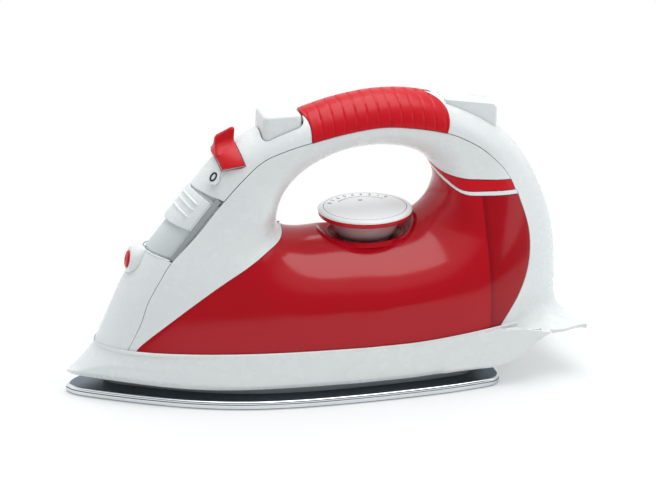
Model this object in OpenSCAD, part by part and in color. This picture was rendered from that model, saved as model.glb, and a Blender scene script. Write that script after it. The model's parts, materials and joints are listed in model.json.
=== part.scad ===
// Toy steam iron for pretend play. Millimetres, nose towards -X, heel towards +X, sole down.
// The outer surface is one form: a half width over the side view, between the crown line and the
// hand opening. Every housing piece is a patch of it between named lines, with its own wall.

/* [Overall] */
// Length from the tip of the sole to the wings of the heel
iron_l = 200; // [186:1:214]
// Height from the sole to the top of the grip
iron_h = 110.8; // [106:0.2:118]
// Width of the sole plate
sole_w = 76.4; // [72:0.2:80]

/* [Base] */
// Thickness of the sole plate
sole_t = 3.2; // [2.6:0.1:4]
// Rounding of the rim of the sole plate
sole_round = 0.8; // [0.4:0.1:1.2]
// Height of the gap between the sole plate and the skirt
sole_gap = 2.3; // [1.8:0.1:3]
// Height of the skirt at the side
skirt_h = 14; // [12.5:0.5:16]
// Width of the skirt at its widest level
skirt_w = 71.6; // [69:0.2:74]
// Wall of the skirt
skirt_wall = 2; // [1.6:0.1:2.4]
// Ledge of the skirt outside the tank
ledge = 0.9; // [0.6:0.1:1.3]
// Rise of the skirt's upper edge near the heel
seam_rise = 2.6; // [1:0.2:4]

/* [Housing] */
// Width of the tank at the skirt
body_w = 66.6; // [63:0.2:68]
// Width of the handle
neck_w = 25.4; // [24:0.2:27]
// Wall of the white housing
wall = 1.8; // [1.4:0.1:2.2]
// Wall of the tank
tank_wall = 1.6; // [1.2:0.1:2]
// Gap at the parting lines
part_gap = 0.14; // [0.1:0.02:0.24]
// Number of ribs on the grip
rib_count = 12; // [8:1:14]
// Height of a rib on the grip
rib_h = 0.5; // [0.3:0.05:0.7]
// Thickness of the grip
grip_wall = 1.8; // [1.4:0.1:2.2]

/* [Dial] */
// Diameter of the dial
dial_d = 36; // [33:0.5:38]
// Height of the dial's face above the sole
dial_z = 64.6; // [62:0.2:67]
// Thickness of the dial's face
dial_t = 2.6; // [2:0.1:3.2]
// Thickness of the ring under the dial
ring_t = 1.3; // [1:0.1:1.8]
// Diameter of the dial's cup below the ring
cup_d = 25; // [23:0.5:27]
// Diameter of the foot of the cup
cup_foot_d = 18; // [16:0.5:20]
// Diameter of the dial's stem
stem_d = 7; // [6:0.5:8]

/* [Controls] */
// Radius of the slide's outer face
slide_r = 12.7; // [12.3:0.1:13]
// Length of the filler slide
slide_l = 15.2; // [14:0.2:16]
// Length of the track that the slide runs in
track_l = 33; // [32:0.2:33.4]
// Radius of the lever's band
band_r = 13.7; // [13.4:0.1:14.2]
// Length of the lever's band along the neck
band_l = 8.4; // [7.6:0.2:9]
// Swing of the lever to each side
lever_swing = 14; // [8:1:16]
// Length of the spray button
button_l = 15.6; // [14.6:0.2:16.4]
// Width of the spray button
button_w = 17; // [16:0.2:18]
// Travel of the spray button
button_travel = 4; // [3:0.2:4.4]

/* [Clearances] */
// Running clearance on a shaft, radial
shaft_gap = 0.08; // [0.04:0.01:0.1]
// Clearance between a moving piece and the housing
move_gap = 0.35; // [0.3:0.05:0.5]
// Clearance of an inner piece to its seat
seat_gap = 0.25; // [0.15:0.05:0.4]

/* [Hidden] */
$fn = 64;

white = [0.93, 0.94, 0.94];
red = [0.82, 0.05, 0.08];
tank_red = [0.72, 0.06, 0.1, 0.75];
steel = [0.72, 0.73, 0.75];
grey = [0.55, 0.57, 0.6];
over = 1;

// Levels of the base
skirt_z = sole_t + sole_gap;
seam_z = skirt_z + skirt_h;
house_h = iron_h - seam_z;

// Lines of the side view, as shares of the length and of the height above the skirt
crown_shares = [[-0.439, 0], [-0.413, 0.125], [-0.384, 0.261], [-0.346, 0.395], [-0.3, 0.52],
    [-0.249, 0.645], [-0.2, 0.763], [-0.138, 0.853], [-0.06, 0.92], [0.03, 0.977], [0.118, 1],
    [0.2, 0.982], [0.278, 0.92], [0.345, 0.828], [0.4, 0.694], [0.442, 0.525], [0.465, 0.353],
    [0.471, 0.179], [0.472, 0]];
opening_shares = [[-0.093, 0.424], [-0.098, 0.497], [-0.08, 0.582], [-0.048, 0.66],
    [-0.01, 0.715], [0.045, 0.76], [0.11, 0.772], [0.165, 0.752], [0.202, 0.712],
    [0.222, 0.65], [0.228, 0.576], [0.213, 0.505], [0.178, 0.447], [0.113, 0.404],
    [0.033, 0.391], [-0.038, 0.4]];
seam_shares = [[-0.388, 0], [-0.362, 0.113], [-0.345, 0.208], [-0.321, 0.297], [-0.298, 0.37],
    [-0.25, 0.478], [-0.2, 0.605], [-0.157, 0.703], [-0.118, 0.771], [-0.07, 0.81],
    [-0.028, 0.833], [0.035, 0.861], [0.106, 0.878], [0.17, 0.864], [0.233, 0.833],
    [0.271, 0.797], [0.307, 0.748], [0.342, 0.675], [0.36, 0.617], [0.368, 0.575],
    [0.373, 0.555], [0.389, 0.43], [0.39, 0.334], [0.38, 0.238], [0.358, 0.13], [0.318, 0]];
band_top_shares = [[0.232, 0.653], [0.267, 0.635], [0.317, 0.624]];
band_low_shares = [[0.237, 0.624], [0.262, 0.589], [0.315, 0.58]];
trim_low_shares = [[0.238, 0.607], [0.265, 0.573], [0.314, 0.562]];
grip_front_shares = [[-0.0285, 0.912]];
grip_rear_shares = [[0.2175, 0.968], [0.2335, 0.937], [0.2375, 0.9]];
tank_front_share = -0.375;

// Places along the lines, counted in their points
crown_nose = 3.05;
crown_neck = 5.29;
crown_grip = 8.15;
crown_rear = 11;
crown_flare = 17.25;
seam_nose = 4;
seam_neck = 6.07;
seam_grip = 10;
seam_rear = 14;
seam_band = 18;
seam_trim = 19;
seam_tank = 20;
seam_flare = 24;
seam_end = 25;
open_start = 16;
open_band = 8.5;
open_trim = 8.85;
open_tank = 9.1;

// Roundings of the outer surface, measured in from the crown and from the opening
front_round = 100;
rear_round = 55;
handle_round = 12;
tank_round = 24;
arch_round = 10;
// Levels between which the body narrows to the handle, as shares of the height above the skirt
narrow_shares = [0.12, 0.745];
// Levels between which the rounding of the tank becomes that of the arch
arch_shares = [0.4, 0.57];
// Places between which the front rounding becomes the rear one, as shares of the length
rear_shares = [0, 0.3];
// Closer to a line than this, the surface lies in the middle plane
flat_slack = 0.04;

// Curves
function mix(a, b, t) = a + (b - a) * t;
function clip(t) = min(max(t, 0), 1);
function ease(t, a, b) = let (s = clip((t - a) / (b - a))) s * s * (3 - 2 * s);
function quarter(t) = let (s = clip(t)) sqrt(s * (2 - s));
function knot(a, b, c, d, t) =
    0.5 * (2 * b + (c - a) * t + (2 * a - 5 * b + 4 * c - d) * t * t + (3 * b - a - 3 * c + d) * t * t * t);
function along(p, k) =
    let (n = len(p) - 1, i = min(max(floor(k), 0), n - 1), f = k - i)
    knot(i > 0 ? p[i - 1] : 2 * p[0] - p[1], p[i], p[i + 1],
        i < n - 1 ? p[i + 2] : 2 * p[n] - p[n - 1], f);
function around(p, k) =
    let (n = len(p), i = floor(k), f = k - i)
    knot(p[(i + n - 1) % n], p[i % n], p[(i + 1) % n], p[(i + 2) % n], f);
function steps(p, k0, k1, n) = [for (i = [0:n]) along(p, mix(k0, k1, i / n))];
function ring_steps(p, k0, k1, n) = [for (i = [0:n]) around(p, mix(k0, k1, i / n))];
function tail(p) = [for (i = [1:len(p) - 1]) p[i]];
function back(p) = [for (i = [1:len(p)]) p[len(p) - i]];
function span(a, b, n) = [for (i = [0:n]) mix(a, b, i / n)];

// The seam on the skirt rises a little near the heel
rise_shares = [0.12, 0.33, 0.345, 0.43];
rise_top_share = 0.3;
function seam_lift(x) =
    let (s = x / iron_l)
    seam_rise * ease(s, rise_shares[0], rise_shares[1]) * (1 - ease(s, rise_shares[2], rise_shares[3]));
function spot(q) =
    let (x = q[0] * iron_l)
    [x, seam_z + q[1] * house_h + (1 - ease(q[1], 0, rise_top_share)) * seam_lift(x)];
function spots(p) = [for (q = p) spot(q)];

crown = spots(crown_shares);
opening = spots(opening_shares);
seam = spots(seam_shares);
crown_steps = 6;
opening_steps = 7;
crown_path = steps(crown, 0, len(crown) - 1, crown_steps * (len(crown) - 1));
opening_path = ring_steps(opening, 0, len(opening), opening_steps * len(opening));

// Half width of the outer surface over the side view
function off(p, a, b) =
    let (d = b - a, t = clip(((p - a) * d) / (d * d))) norm(p - a - t * d);
function apart(p, path) = min([for (i = [0:len(path) - 2]) off(p, path[i], path[i + 1])]);
function half_w(p) =
    let (h = (p[1] - seam_z) / house_h, s = p[0] / iron_l,
        outer = max(apart(p, crown_path) - flat_slack, 0),
        inner = max(apart(p, opening_path) - flat_slack, 0),
        up = ease(h, narrow_shares[0], narrow_shares[1]),
        low_round = mix(front_round, rear_round, ease(s, rear_shares[0], rear_shares[1])),
        in_round = mix(tank_round, arch_round, ease(h, arch_shares[0], arch_shares[1])))
    mix(body_w, neck_w, up) / 2 * quarter(outer / mix(low_round, handle_round, up))
        * quarter(inner / in_round);

// How fast the bend of an end line fades into a patch
end_blend = 7;
// A patch of the side view between two lines a and b, with end lines l and r, lifted to the surface.
// Shares v run from a to b. Closed patches mirror over line a, which lies in the middle plane.
function patch(a, b, l, r, v, blend = end_blend) =
    let (n = len(a) - 1)
    [for (i = [0:n]) let (u = i / n)
        [for (j = [0:len(v) - 1]) let (t = v[j],
            p = mix(a[i], b[i], t) + (l[j] - mix(a[0], b[0], t)) * pow(1 - u, blend)
                + (r[j] - mix(a[n], b[n], t)) * pow(u, blend))
            [p[0], half_w(p), p[1]]]];
function straight(p, q, v) = [for (t = v) mix(p, q, t)];
function bent(p, v) = [for (t = v) along(p, t * (len(p) - 1))];
function flipped(p) = [p[0], -p[1], p[2]];
function both(g) = [for (row = g) concat([for (j = [len(row) - 1:-1:1]) flipped(row[j])], row)];
function mid_row(row) = [for (j = [0:len(row) - 1]) j == 0 ? [row[0][0], 0, row[0][2]] : row[j]];
function closed_over(g) = both([for (row = g) mid_row(row)]);
// Shares that crowd towards the first line, and towards the second
crowd_bend = 1.7;
function crowd(n) = [for (j = [0:n]) pow(j / n, crowd_bend)];
function crowd_end(n) = [for (j = [0:n]) 1 - pow(1 - j / n, crowd_bend)];

// Draws the edges of a grid in by a gap: sides says which of the lines a, b, l and r
half_share = 0.5;
inner_gap = 0.5;
function toward(d, gap) = norm(d) > 0 ? d * min(gap / norm(d), half_share) : d;
function drawn(g, sides, gap = part_gap) =
    let (n = len(g) - 1, m = len(g[0]) - 1, still = [0, 0, 0])
    [for (i = [0:n]) [for (j = [0:m]) let (p = g[i][j])
        p + toward(j == 0 && sides[0] ? g[i][1] - p : j == m && sides[1] ? g[i][m - 1] - p : still, gap)
            + toward(i == 0 && sides[2] ? g[1][j] - p : i == n && sides[3] ? g[n - 1][j] - p : still, gap)]];
// A patch that is mirrored over its line a and ends a parting gap short of its neighbours
function capped(g) = closed_over(drawn(g, [false, true, true, true]));

// Normal of a grid of points, which looks over the middle plane where the grid ends on it
function beside(g, i, j, k) =
    let (m = len(g[0]) - 1)
    j + k >= 0 && j + k <= m ? g[i][j + k] : abs(g[i][j][1]) < 2 * part_gap ? flipped(g[i][j - k]) : g[i][j];
function unit(v) = norm(v) > 0 ? v / norm(v) : [0, 1, 0];
function normal(g, i, j) =
    let (n = len(g) - 1)
    unit(cross(g[min(i + 1, n)][j] - g[max(i - 1, 0)][j], beside(g, i, j, 1) - beside(g, i, j, -1)));
function offset_grid(g, d) =
    [for (i = [0:len(g) - 1]) [for (j = [0:len(g[0]) - 1])
        g[i][j] + normal(g, i, j) * (is_list(d) ? d[i] : d)]];

// Closed solid between an outer and an inner grid. Turn says which side is outside.
module between(outer, inner, turn) {
    n = len(outer) - 1;
    m = len(outer[0]) - 1;
    w = m + 1;
    c = (n + 1) * w;
    faces = concat(
        [for (i = [0:n - 1], j = [0:m - 1]) let (k = i * w + j)
            each norm(outer[i][j + 1] - outer[i + 1][j]) < norm(outer[i][j] - outer[i + 1][j + 1])
            ? [[k, k + 1, k + w], [k + w, k + 1, k + w + 1],
                [c + k, c + k + w, c + k + 1], [c + k + w, c + k + w + 1, c + k + 1]]
            : [[k, k + 1, k + w + 1], [k, k + w + 1, k + w],
                [c + k, c + k + w + 1, c + k + 1], [c + k, c + k + w, c + k + w + 1]]],
        [for (i = [0:n - 1]) each
            [[i * w, (i + 1) * w, c + i * w], [(i + 1) * w, c + (i + 1) * w, c + i * w]]],
        [for (i = [0:n - 1]) each
            [[i * w + m, c + i * w + m, (i + 1) * w + m],
            [(i + 1) * w + m, c + i * w + m, c + (i + 1) * w + m]]],
        [for (j = [0:m - 1]) each
            [[j, c + j, j + 1], [j + 1, c + j, c + j + 1]]],
        [for (j = [0:m - 1]) each
            [[n * w + j, n * w + j + 1, c + n * w + j],
            [n * w + j + 1, c + n * w + j + 1, c + n * w + j]]]);
    polyhedron(
        [for (g = [outer, inner], row = g, p = row) p],
        turn > 0 ? faces : [for (f = faces) [f[0], f[2], f[1]]],
        convexity = 10);
}
// Inner side of a sheet: its edges are drawn in, and it stays above the skirt and on its side of the middle
function inner_grid(g, wall_t, side = 0) =
    [for (row = drawn(offset_grid(g, -wall_t), [true, true, true, true], inner_gap))
        [for (p = row) [p[0], side > 0 ? max(p[1], part_gap) : p[1],
            max(p[2], seam_z + part_gap + seam_lift(p[0]))]]];
module sheet(g, wall_t, turn, out = 0, side = 0) {
    outer = out == 0 ? g : offset_grid(g, turn * out);
    between(outer, inner_grid(g, turn * wall_t, side), turn);
}

// Solid or tray from closed rings, each seen counter-clockwise from above, with flat ends
module rings(g) {
    n = len(g) - 1;
    m = len(g[0]);
    polyhedron(
        [for (row = g, p = row) p],
        concat([[for (j = [0:m - 1]) j]], [[for (j = [m - 1:-1:0]) n * m + j]],
            [for (i = [0:n - 1], j = [0:m - 1]) let (k = (j + 1) % m) each
                [[i * m + j, (i + 1) * m + j, i * m + k],
                [i * m + k, (i + 1) * m + j, (i + 1) * m + k]]]),
        convexity = 10);
}

// Sole plate outline, as shares of its length and half width, with a rounded rear corner
sole_shares = [[0, 0], [0.018, 0.123], [0.071, 0.283], [0.177, 0.547], [0.284, 0.762],
    [0.394, 0.906], [0.508, 0.976], [0.624, 1], [0.743, 1], [0.865, 0.976], [0.955, 0.93]];
sole_front_share = -0.4975;
sole_rear_share = 0.32;
sole_front = sole_front_share * iron_l;
sole_rear = sole_rear_share * iron_l;
corner_r = 7;
corner_a = 60;
corner_steps = 2;
sole_points = 22;
sole_crowd = 1.3;
function side_line(front, rear, half, n) =
    let (p = [for (q = sole_shares) [mix(front, rear, q[0]), half * q[1]]], e = p[len(p) - 1])
    concat([for (i = [0:n]) along(p, pow(i / n, sole_crowd) * (len(p) - 1))],
        [for (k = [corner_steps:-1:0]) let (a = corner_a * k / corner_steps)
            [rear - corner_r * (1 - cos(a)), e[1] - corner_r * (1 - sin(a))]]);
function loop_of(line, z) =
    concat([for (p = line) [p[0], -p[1], z]], [for (i = [len(line) - 1:-1:1]) [line[i][0], line[i][1], z]]);
nose_draw = 2;
function sole_ring(inset, z, rear_inset = 0) =
    loop_of(side_line(sole_front + inset * nose_draw, sole_rear - inset - rear_inset, sole_w / 2 - inset,
        sole_points), z);

// A point on the rounding of the rim, as shares in and up
rim_shares = [0.3, 0.4];
module sole_plate() {
    rim = rim_shares * sole_round;
    color(steel)
    rings([sole_ring(sole_round, 0), sole_ring(rim[0], rim[1]),
        sole_ring(0, sole_round), sole_ring(0, sole_t - sole_round),
        sole_ring(rim[0], sole_t - rim[1]), sole_ring(sole_round, sole_t)]);
}

// Base plate that carries the sole under the skirt, with four screw posts
pedestal_inset = 7.2;
pedestal_rear = 1.8;
base_flange_t = 2;
post_d = 7;
screw_d = 3;
screw_head_d = 5.4;
screw_head_t = 1.8;
post_shares = [[-0.15, 0.15], [0.2, 0.3]];
deck_t = 2;
deck_drop = 1.4;
deck_z = seam_z - deck_drop;
module at_posts() {
    for (q = post_shares, s = [-1, 1]) translate([q[0] * iron_l, s * q[1] * sole_w, 0]) children();
}
module base_plate() {
    post_h = deck_z - deck_t - sole_t;
    color(grey)
    difference() {
        union() {
            translate([0, 0, sole_t]) linear_extrude(sole_gap + base_flange_t)
                polygon([for (p = sole_ring(pedestal_inset, 0, pedestal_rear)) [p[0], p[1]]]);
            at_posts() translate([0, 0, sole_t]) cylinder(d = post_d, h = post_h);
        }
        at_posts() translate([0, 0, sole_t - over]) {
            cylinder(d = screw_d + 2 * shaft_gap, h = post_h + 2 * over);
            cylinder(d = screw_head_d + 2 * seat_gap, h = screw_head_t + over);
        }
    }
}
module base_screws() {
    color(steel)
    at_posts() {
        translate([0, 0, sole_t + shaft_gap]) cylinder(d = screw_head_d, h = screw_head_t - shaft_gap);
        translate([0, 0, sole_t + shaft_gap]) cylinder(d = screw_d, h = deck_z - sole_t - 2 * shaft_gap);
    }
}

// Skirt: levels as shares of its height, with the nose, the stern and the width at each
skirt_level_shares = [0, 0.2, 0.46, 0.75, 1];
skirt_nose_shares = [-0.486, -0.4935, -0.476, -0.456, -0.439];
skirt_stern_shares = [0.29, 0.32, 0.359, 0.388, 0.417];
skirt_width_shares = [0.968, 1, 0.99, 0.975, 0.965];
skirt_points = 30;
skirt_crowd = 1.6;
skirt_wide_share = 0.12;
skirt_slim = 0.4;
skirt_lip = 1;
nose_inset = 1.5;
tuck = 0.92;
function skirt_side(k, inset) =
    let (front = skirt_nose_shares[k] * iron_l, rear = skirt_stern_shares[k] * iron_l,
        mid = skirt_wide_share * iron_l)
    [for (i = [0:skirt_points]) let (t = pow(i / skirt_points, skirt_crowd), x = mix(front, rear, t),
        s = half_w([x < mid ? mix(crown[0][0], mid, (x - front) / (mid - front)) : mid, seam_z]) / body_w * 2,
        y = skirt_w / 2 * skirt_width_shares[k] * mix(s, pow(s, tuck), 1 - skirt_level_shares[k]))
        [x + inset * mix(nose_inset, -1, t), i == 0 ? 0 : max(y - inset, skirt_slim)]];
function skirt_ring(k, inset, z, lift = 0) =
    let (line = skirt_side(k, inset), n = len(line) - 1)
    concat([for (p = line) [p[0], -p[1], z + lift * seam_lift(p[0])]],
        [for (i = [n:-1:1]) [line[i][0], line[i][1], z + lift * seam_lift(line[i][0])]]);
module skirt() {
    color(white)
    difference() {
        rings([skirt_ring(4, skirt_wall + skirt_lip, deck_z - deck_t),
            skirt_ring(2, skirt_wall, mix(skirt_z, seam_z, skirt_level_shares[2])),
            skirt_ring(0, skirt_wall, skirt_z), skirt_ring(0, 0, skirt_z),
            skirt_ring(1, 0, mix(skirt_z, seam_z, skirt_level_shares[1])),
            skirt_ring(2, 0, mix(skirt_z, seam_z, skirt_level_shares[2])),
            skirt_ring(3, 0, mix(skirt_z, seam_z, skirt_level_shares[3])),
            skirt_ring(4, 0, seam_z, 1), skirt_ring(4, skirt_wall + skirt_lip, seam_z, 1),
            skirt_ring(4, skirt_wall + skirt_lip, deck_z)]);
        at_posts() translate([0, 0, deck_z - deck_t - over])
            cylinder(d = screw_d + 2 * shaft_gap, h = deck_t + 2 * over);
    }
}

// Tank: the red shell between the front casing, the skirt, the heel cover and the hand opening
tank_rows = 8;
tank_low_steps = 14;
tank_rear_steps = 10;
tank_v = crowd(tank_rows);
tank_a = ring_steps(opening, open_start, open_tank, tank_low_steps + tank_rear_steps);
tank_low = [for (x = span(tank_front_share * iron_l, seam[seam_end][0], tank_low_steps))
    [x, seam_z + seam_lift(x)]];
tank_b = concat(tank_low, tail(steps(seam, seam_end, seam_tank, tank_rear_steps)));
trim_low_line = concat([around(opening, open_tank)], spots(trim_low_shares), [along(seam, seam_tank)]);
band_low_line = concat([around(opening, open_trim)], spots(band_low_shares), [along(seam, seam_trim)]);
band_top_line = concat([around(opening, open_band)], spots(band_top_shares), [along(seam, seam_band)]);
tank_grid = capped(patch(tank_a, tank_b, straight(tank_a[0], tank_b[0], tank_v),
    bent(trim_low_line, tank_v), tank_v));
dial_x_share = 0.0905;
dial_x = dial_x_share * iron_l;
dial_seat_share = 0.358;
seat_z = seam_z + dial_seat_share * house_h;
module tank_shell() {
    color(tank_red)
    difference() {
        sheet(tank_grid, tank_wall, 1);
        translate([dial_x, 0, seat_z]) cylinder(d = cup_foot_d + 2 * move_gap, h = tank_round);
        translate([dial_x, 0, foot_z + cup_h * cup_knee_share - move_gap])
            cylinder(d1 = cup_foot_d + 2 * move_gap, d2 = cup_d + 4 * move_gap,
                h = cup_h * (1 - cup_knee_share));
    }
}

// Floor and rear wall of the tank, cut to the inner side of the shell
floor_t = 1.6;
floor_rear_share = 0.3;
floor_steps = 20;
floor_z = seam_z + seat_gap;
// Half width inside the tank: its wall is thicker across where the surface slants
slant_step = 1;
slant_max = 2.6;
function slant(p) =
    let (a = (half_w(p + [slant_step, 0]) - half_w(p - [slant_step, 0])) / slant_step / 2,
        b = (half_w(p + [0, slant_step]) - half_w(p - [0, slant_step])) / slant_step / 2)
    min(sqrt(1 + a * a + b * b), slant_max);
function in_half(p) = half_w(p) - tank_wall * slant(p) - 2 * seat_gap;
function floor_half(x) = in_half([x, floor_z + floor_t + slant_step]);
module tank_floor() {
    xs = span(tank_front_share * iron_l + tank_wall, floor_rear_share * iron_l, floor_steps);
    color(tank_red)
    translate([0, 0, floor_z])
    linear_extrude(floor_t)
    polygon(concat([for (x = xs) [x, floor_half(x)]], [for (x = back(xs)) [x, -floor_half(x)]]));
}
wall_x_share = 0.287;
wall_top_share = 0.5;
wall_steps = 12;
module tank_wall_rear() {
    x = wall_x_share * iron_l;
    low = floor_z + floor_t + seat_gap;
    zs = span(low, seam_z + wall_top_share * house_h, wall_steps);
    ys = [for (z = zs) min(in_half([x, z]), in_half([x + tank_wall, z]))];
    color(tank_red)
    translate([x, 0, 0])
    rotate([90, 0, 90])
    linear_extrude(tank_wall)
    polygon(concat([for (i = [0:wall_steps]) [ys[i], zs[i]]],
        [for (i = [wall_steps:-1:0]) [-ys[i], zs[i]]]));
}

// Casing: two halves, from the nose over the cheek, along the underside of the handle to the pillar
case_rows = 8;
case_front = 12;
case_v = crowd_end(case_rows);
// Places on the seam and on the opening that face each other
case_keys = [[6.3, 0], [7, 1.2], [8, 2.5], [9, 3.3], [10, 4], [11, 4.85], [12, 5.95], [13, 7],
    [14, 7.75], [15, 8.1], [16, 8.25], [17, 8.4], [seam_band, open_band]];
case_arch = span(0, len(case_keys) - 1, 2 * (len(case_keys) - 1));
case_shares = crowd_end(case_front);
case_a = concat([for (t = case_shares) along(seam, t * case_keys[0][0])],
    tail([for (k = case_arch) along(seam, along(case_keys, k)[0])]));
case_b = concat(straight([tank_front_share * iron_l, seam_z], around(opening, open_start), case_shares),
    tail([for (k = case_arch) around(opening, along(case_keys, k)[1])]));
case_open = patch(case_a, case_b, straight(case_a[0], case_b[0], case_v),
    bent(back(band_top_line), case_v), case_v);
case_grid = drawn([for (i = [0:len(case_open) - 1])
    i < case_front ? case_open[i] : back(mid_row(back(case_open[i])))], [true, true, true, true]);
module casing_half() {
    sheet(case_grid, wall, 1, side = 1);
}
module casing_left() {
    color(white) casing_half();
}
module casing_right() {
    color(white) mirror([0, 1, 0]) casing_half();
}

// Covers over the crown
cover_rows = 7;
cover_steps = 14;
cover_v = crowd(cover_rows);
nose_a = steps(crown, 0, crown_nose, cover_steps);
nose_b = steps(seam, 0, seam_nose, cover_steps);
nose_grid = capped(patch(nose_a, nose_b, straight(nose_a[0], nose_b[0], cover_v),
    straight(nose_a[cover_steps], nose_b[cover_steps], cover_v), cover_v));
neck_a = steps(crown, crown_neck, crown_grip, cover_steps);
neck_b = steps(seam, seam_neck, seam_grip, cover_steps);
grip_front_line = concat([along(crown, crown_grip)], spots(grip_front_shares), [along(seam, seam_grip)]);
grip_rear_line = concat([along(crown, crown_rear)], spots(grip_rear_shares), [along(seam, seam_rear)]);
neck_grid = capped(patch(neck_a, neck_b, straight(neck_a[0], neck_b[0], cover_v),
    bent(grip_front_line, cover_v), cover_v));
module nose_cover() {
    color(white)
    difference() {
        sheet(nose_grid, wall, 1);
        nozzle_bulge(part_gap);
    }
}
module neck_cover() {
    color(white)
    difference() {
        sheet(neck_grid, wall, 1);
        at_lever(-notch_l / 2) linear_extrude(notch_l) arc_2d(axle_d / 2, notch_r, notch_a);
        translate([0, 0, button_low_z]) linear_extrude(iron_h) button_2d(move_gap);
        at_pad(-pad_depth) linear_extrude(notch_r) pad_2d(seat_gap);
    }
}

// Grip: ribs that swell between narrow grooves
rib_steps = 3;
grip_rows = 6;
grip_steps = rib_steps * rib_count;
grip_a = steps(crown, crown_grip, crown_rear, grip_steps);
grip_b = steps(seam, seam_grip, seam_rear, grip_steps);
grip_v = crowd(grip_rows);
grip_grid = capped(patch(grip_a, grip_b, bent(grip_front_line, grip_v),
    bent(grip_rear_line, grip_v), grip_v));
module grip() {
    lift = [for (i = [0:grip_steps]) i % rib_steps == 0 ? 0 : rib_h];
    color(red)
    difference() {
        sheet(grip_grid, grip_wall, 1, lift);
        translate([0, 0, button_low_z]) linear_extrude(iron_h) button_2d(move_gap);
    }
}

// Heel cover: down the back, flaring into two wings
rear_steps = 20;
rear_a = steps(crown, crown_rear, crown_flare, rear_steps);
rear_b = steps(seam, seam_rear, seam_flare, rear_steps);
rear_grid = closed_over(patch(rear_a, rear_b, bent(grip_rear_line, cover_v),
    straight(rear_a[rear_steps], rear_b[rear_steps], cover_v), cover_v));
wing_shares = [[0.474, 0], [0.476, 0.2], [0.482, 0.45], [0.489, 0.7], [0.4965, 0.88], [0.4975, 0.94],
    [0.491, 0.965], [0.45, 0.955], [0.39, 0.93]];
wing_half = 31;
wing_rise = 0.2;
wing_z = seam_z + wing_rise;
flare_steps = 6;
flare_bend = 1.5;
wing_n = len(cover_v) - 1;
function wing_at(t) =
    let (p = along(wing_shares, t * (len(wing_shares) - 1))) [p[0] * iron_l, p[1] * wing_half];
wing_side = concat([for (t = span(0, 1, wing_n - 1)) wing_at(t)],
    [[seam[seam_end][0], half_w([seam[seam_end][0], seam_z])]]);
wing_row = concat([for (j = [wing_n:-1:1]) [wing_side[j][0], -wing_side[j][1], wing_z]],
    [for (j = [0:wing_n]) [wing_side[j][0], wing_side[j][1], wing_z]]);
function flare(k) = let (t = k / flare_steps, s = pow(t, flare_bend), row = rear_grid[rear_steps])
    [for (j = [0:len(row) - 1]) let (p = row[j], q = wing_row[j])
        [mix(p[0], q[0], s), mix(p[1], q[1], s), mix(p[2], q[2], t)]];
heel_grid = drawn(concat(rear_grid, [for (k = [1:flare_steps]) flare(k)]), [true, true, true, false]);
module rear_cover() {
    color(white)
    difference() {
        sheet(heel_grid, wall, 1);
        outlet_block(seat_gap);
    }
}
heel_t = 1.4;
heel_front = skirt_stern_shares[4] * iron_l + seat_gap;
module heel_plate() {
    row = inner_grid(heel_grid, wall)[len(heel_grid) - 2];
    color(white)
    translate([0, 0, min([for (p = row) p[2]]) - heel_t])
    linear_extrude(heel_t)
    intersection() {
        polygon([for (p = row) [p[0] - seat_gap, p[1] - (p[1] > 0 ? seat_gap : -seat_gap)]]);
        translate([heel_front, -iron_l]) square([iron_l, 2 * iron_l]);
    }
}

// Band and trim around the pillar
band_steps = 2;
band_a = ring_steps(opening, open_band, open_trim, band_steps);
band_b = steps(seam, seam_band, seam_trim, band_steps);
trim_a = ring_steps(opening, open_trim, open_tank, band_steps);
trim_b = steps(seam, seam_trim, seam_tank, band_steps);
module pillar_band() {
    color(red)
    sheet(capped(patch(band_a, band_b, bent(band_top_line, tank_v), bent(band_low_line, tank_v), tank_v, 1)),
        wall, -1);
}
module pillar_trim() {
    color(white)
    sheet(capped(patch(trim_a, trim_b, bent(band_low_line, tank_v), bent(trim_low_line, tank_v), tank_v, 1)),
        wall, -1);
}

// Places of the mechanisms, as shares of the length and of the height above the skirt
function place(q) = [q[0] * iron_l, 0, seam_z + q[1] * house_h];
// Sector of a ring, a degrees to each side of the -X direction, or from a to b on one side
arc_steps = 6;
module arc_2d(r0, r1, a, b = 0) {
    intersection() {
        difference() {
            circle(r1);
            circle(r0);
        }
        polygon(concat([[0, 0]],
            [for (t = span(b == 0 ? -a : b, a, arc_steps)) 2 * r1 * [-cos(t), sin(t)]]));
    }
}

// Cord outlet behind the grip: a block with a sloping top and a round hole for a cord
outlet_half = 5.75;
outlet_r = 1.2;
outlet_side_shares = [[0.2395, 0.84], [0.2395, 0.9557], [0.335, 0.922], [0.3425, 0.9], [0.343, 0.835],
    [0.32, 0.79]];
outlet_hole_share = 0.872;
outlet_hole_d = 5;
outlet_hole_l = 14;
outlet_rear_share = 0.343;
module outlet_block(gap) {
    side = [for (q = outlet_side_shares) let (p = place(q)) [p[0], p[2]]];
    intersection() {
        translate([0, outlet_half + gap, 0]) rotate([90, 0, 0])
            linear_extrude(2 * (outlet_half + gap)) polygon(side);
        translate([0, 0, seam_z]) linear_extrude(iron_h) rounded_2d(side[0][0] - iron_h,
            outlet_rear_share * iron_l + gap, outlet_half + gap, outlet_r);
    }
}
module rounded_2d(x0, x1, half, r) {
    translate([x0 + r, -half]) square([x1 - x0 - 2 * r, 2 * half]);
    translate([x0, r - half]) square([x1 - x0, 2 * (half - r)]);
    for (x = [x0 + r, x1 - r], y = [r - half, half - r]) translate([x, y]) circle(r);
}
module cord_outlet() {
    color(white)
    difference() {
        outlet_block(0);
        translate([outlet_rear_share * iron_l - outlet_hole_l, 0, seam_z + outlet_hole_share * house_h])
            rotate([0, 90, 0]) cylinder(d = outlet_hole_d, h = iron_h);
    }
}

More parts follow.
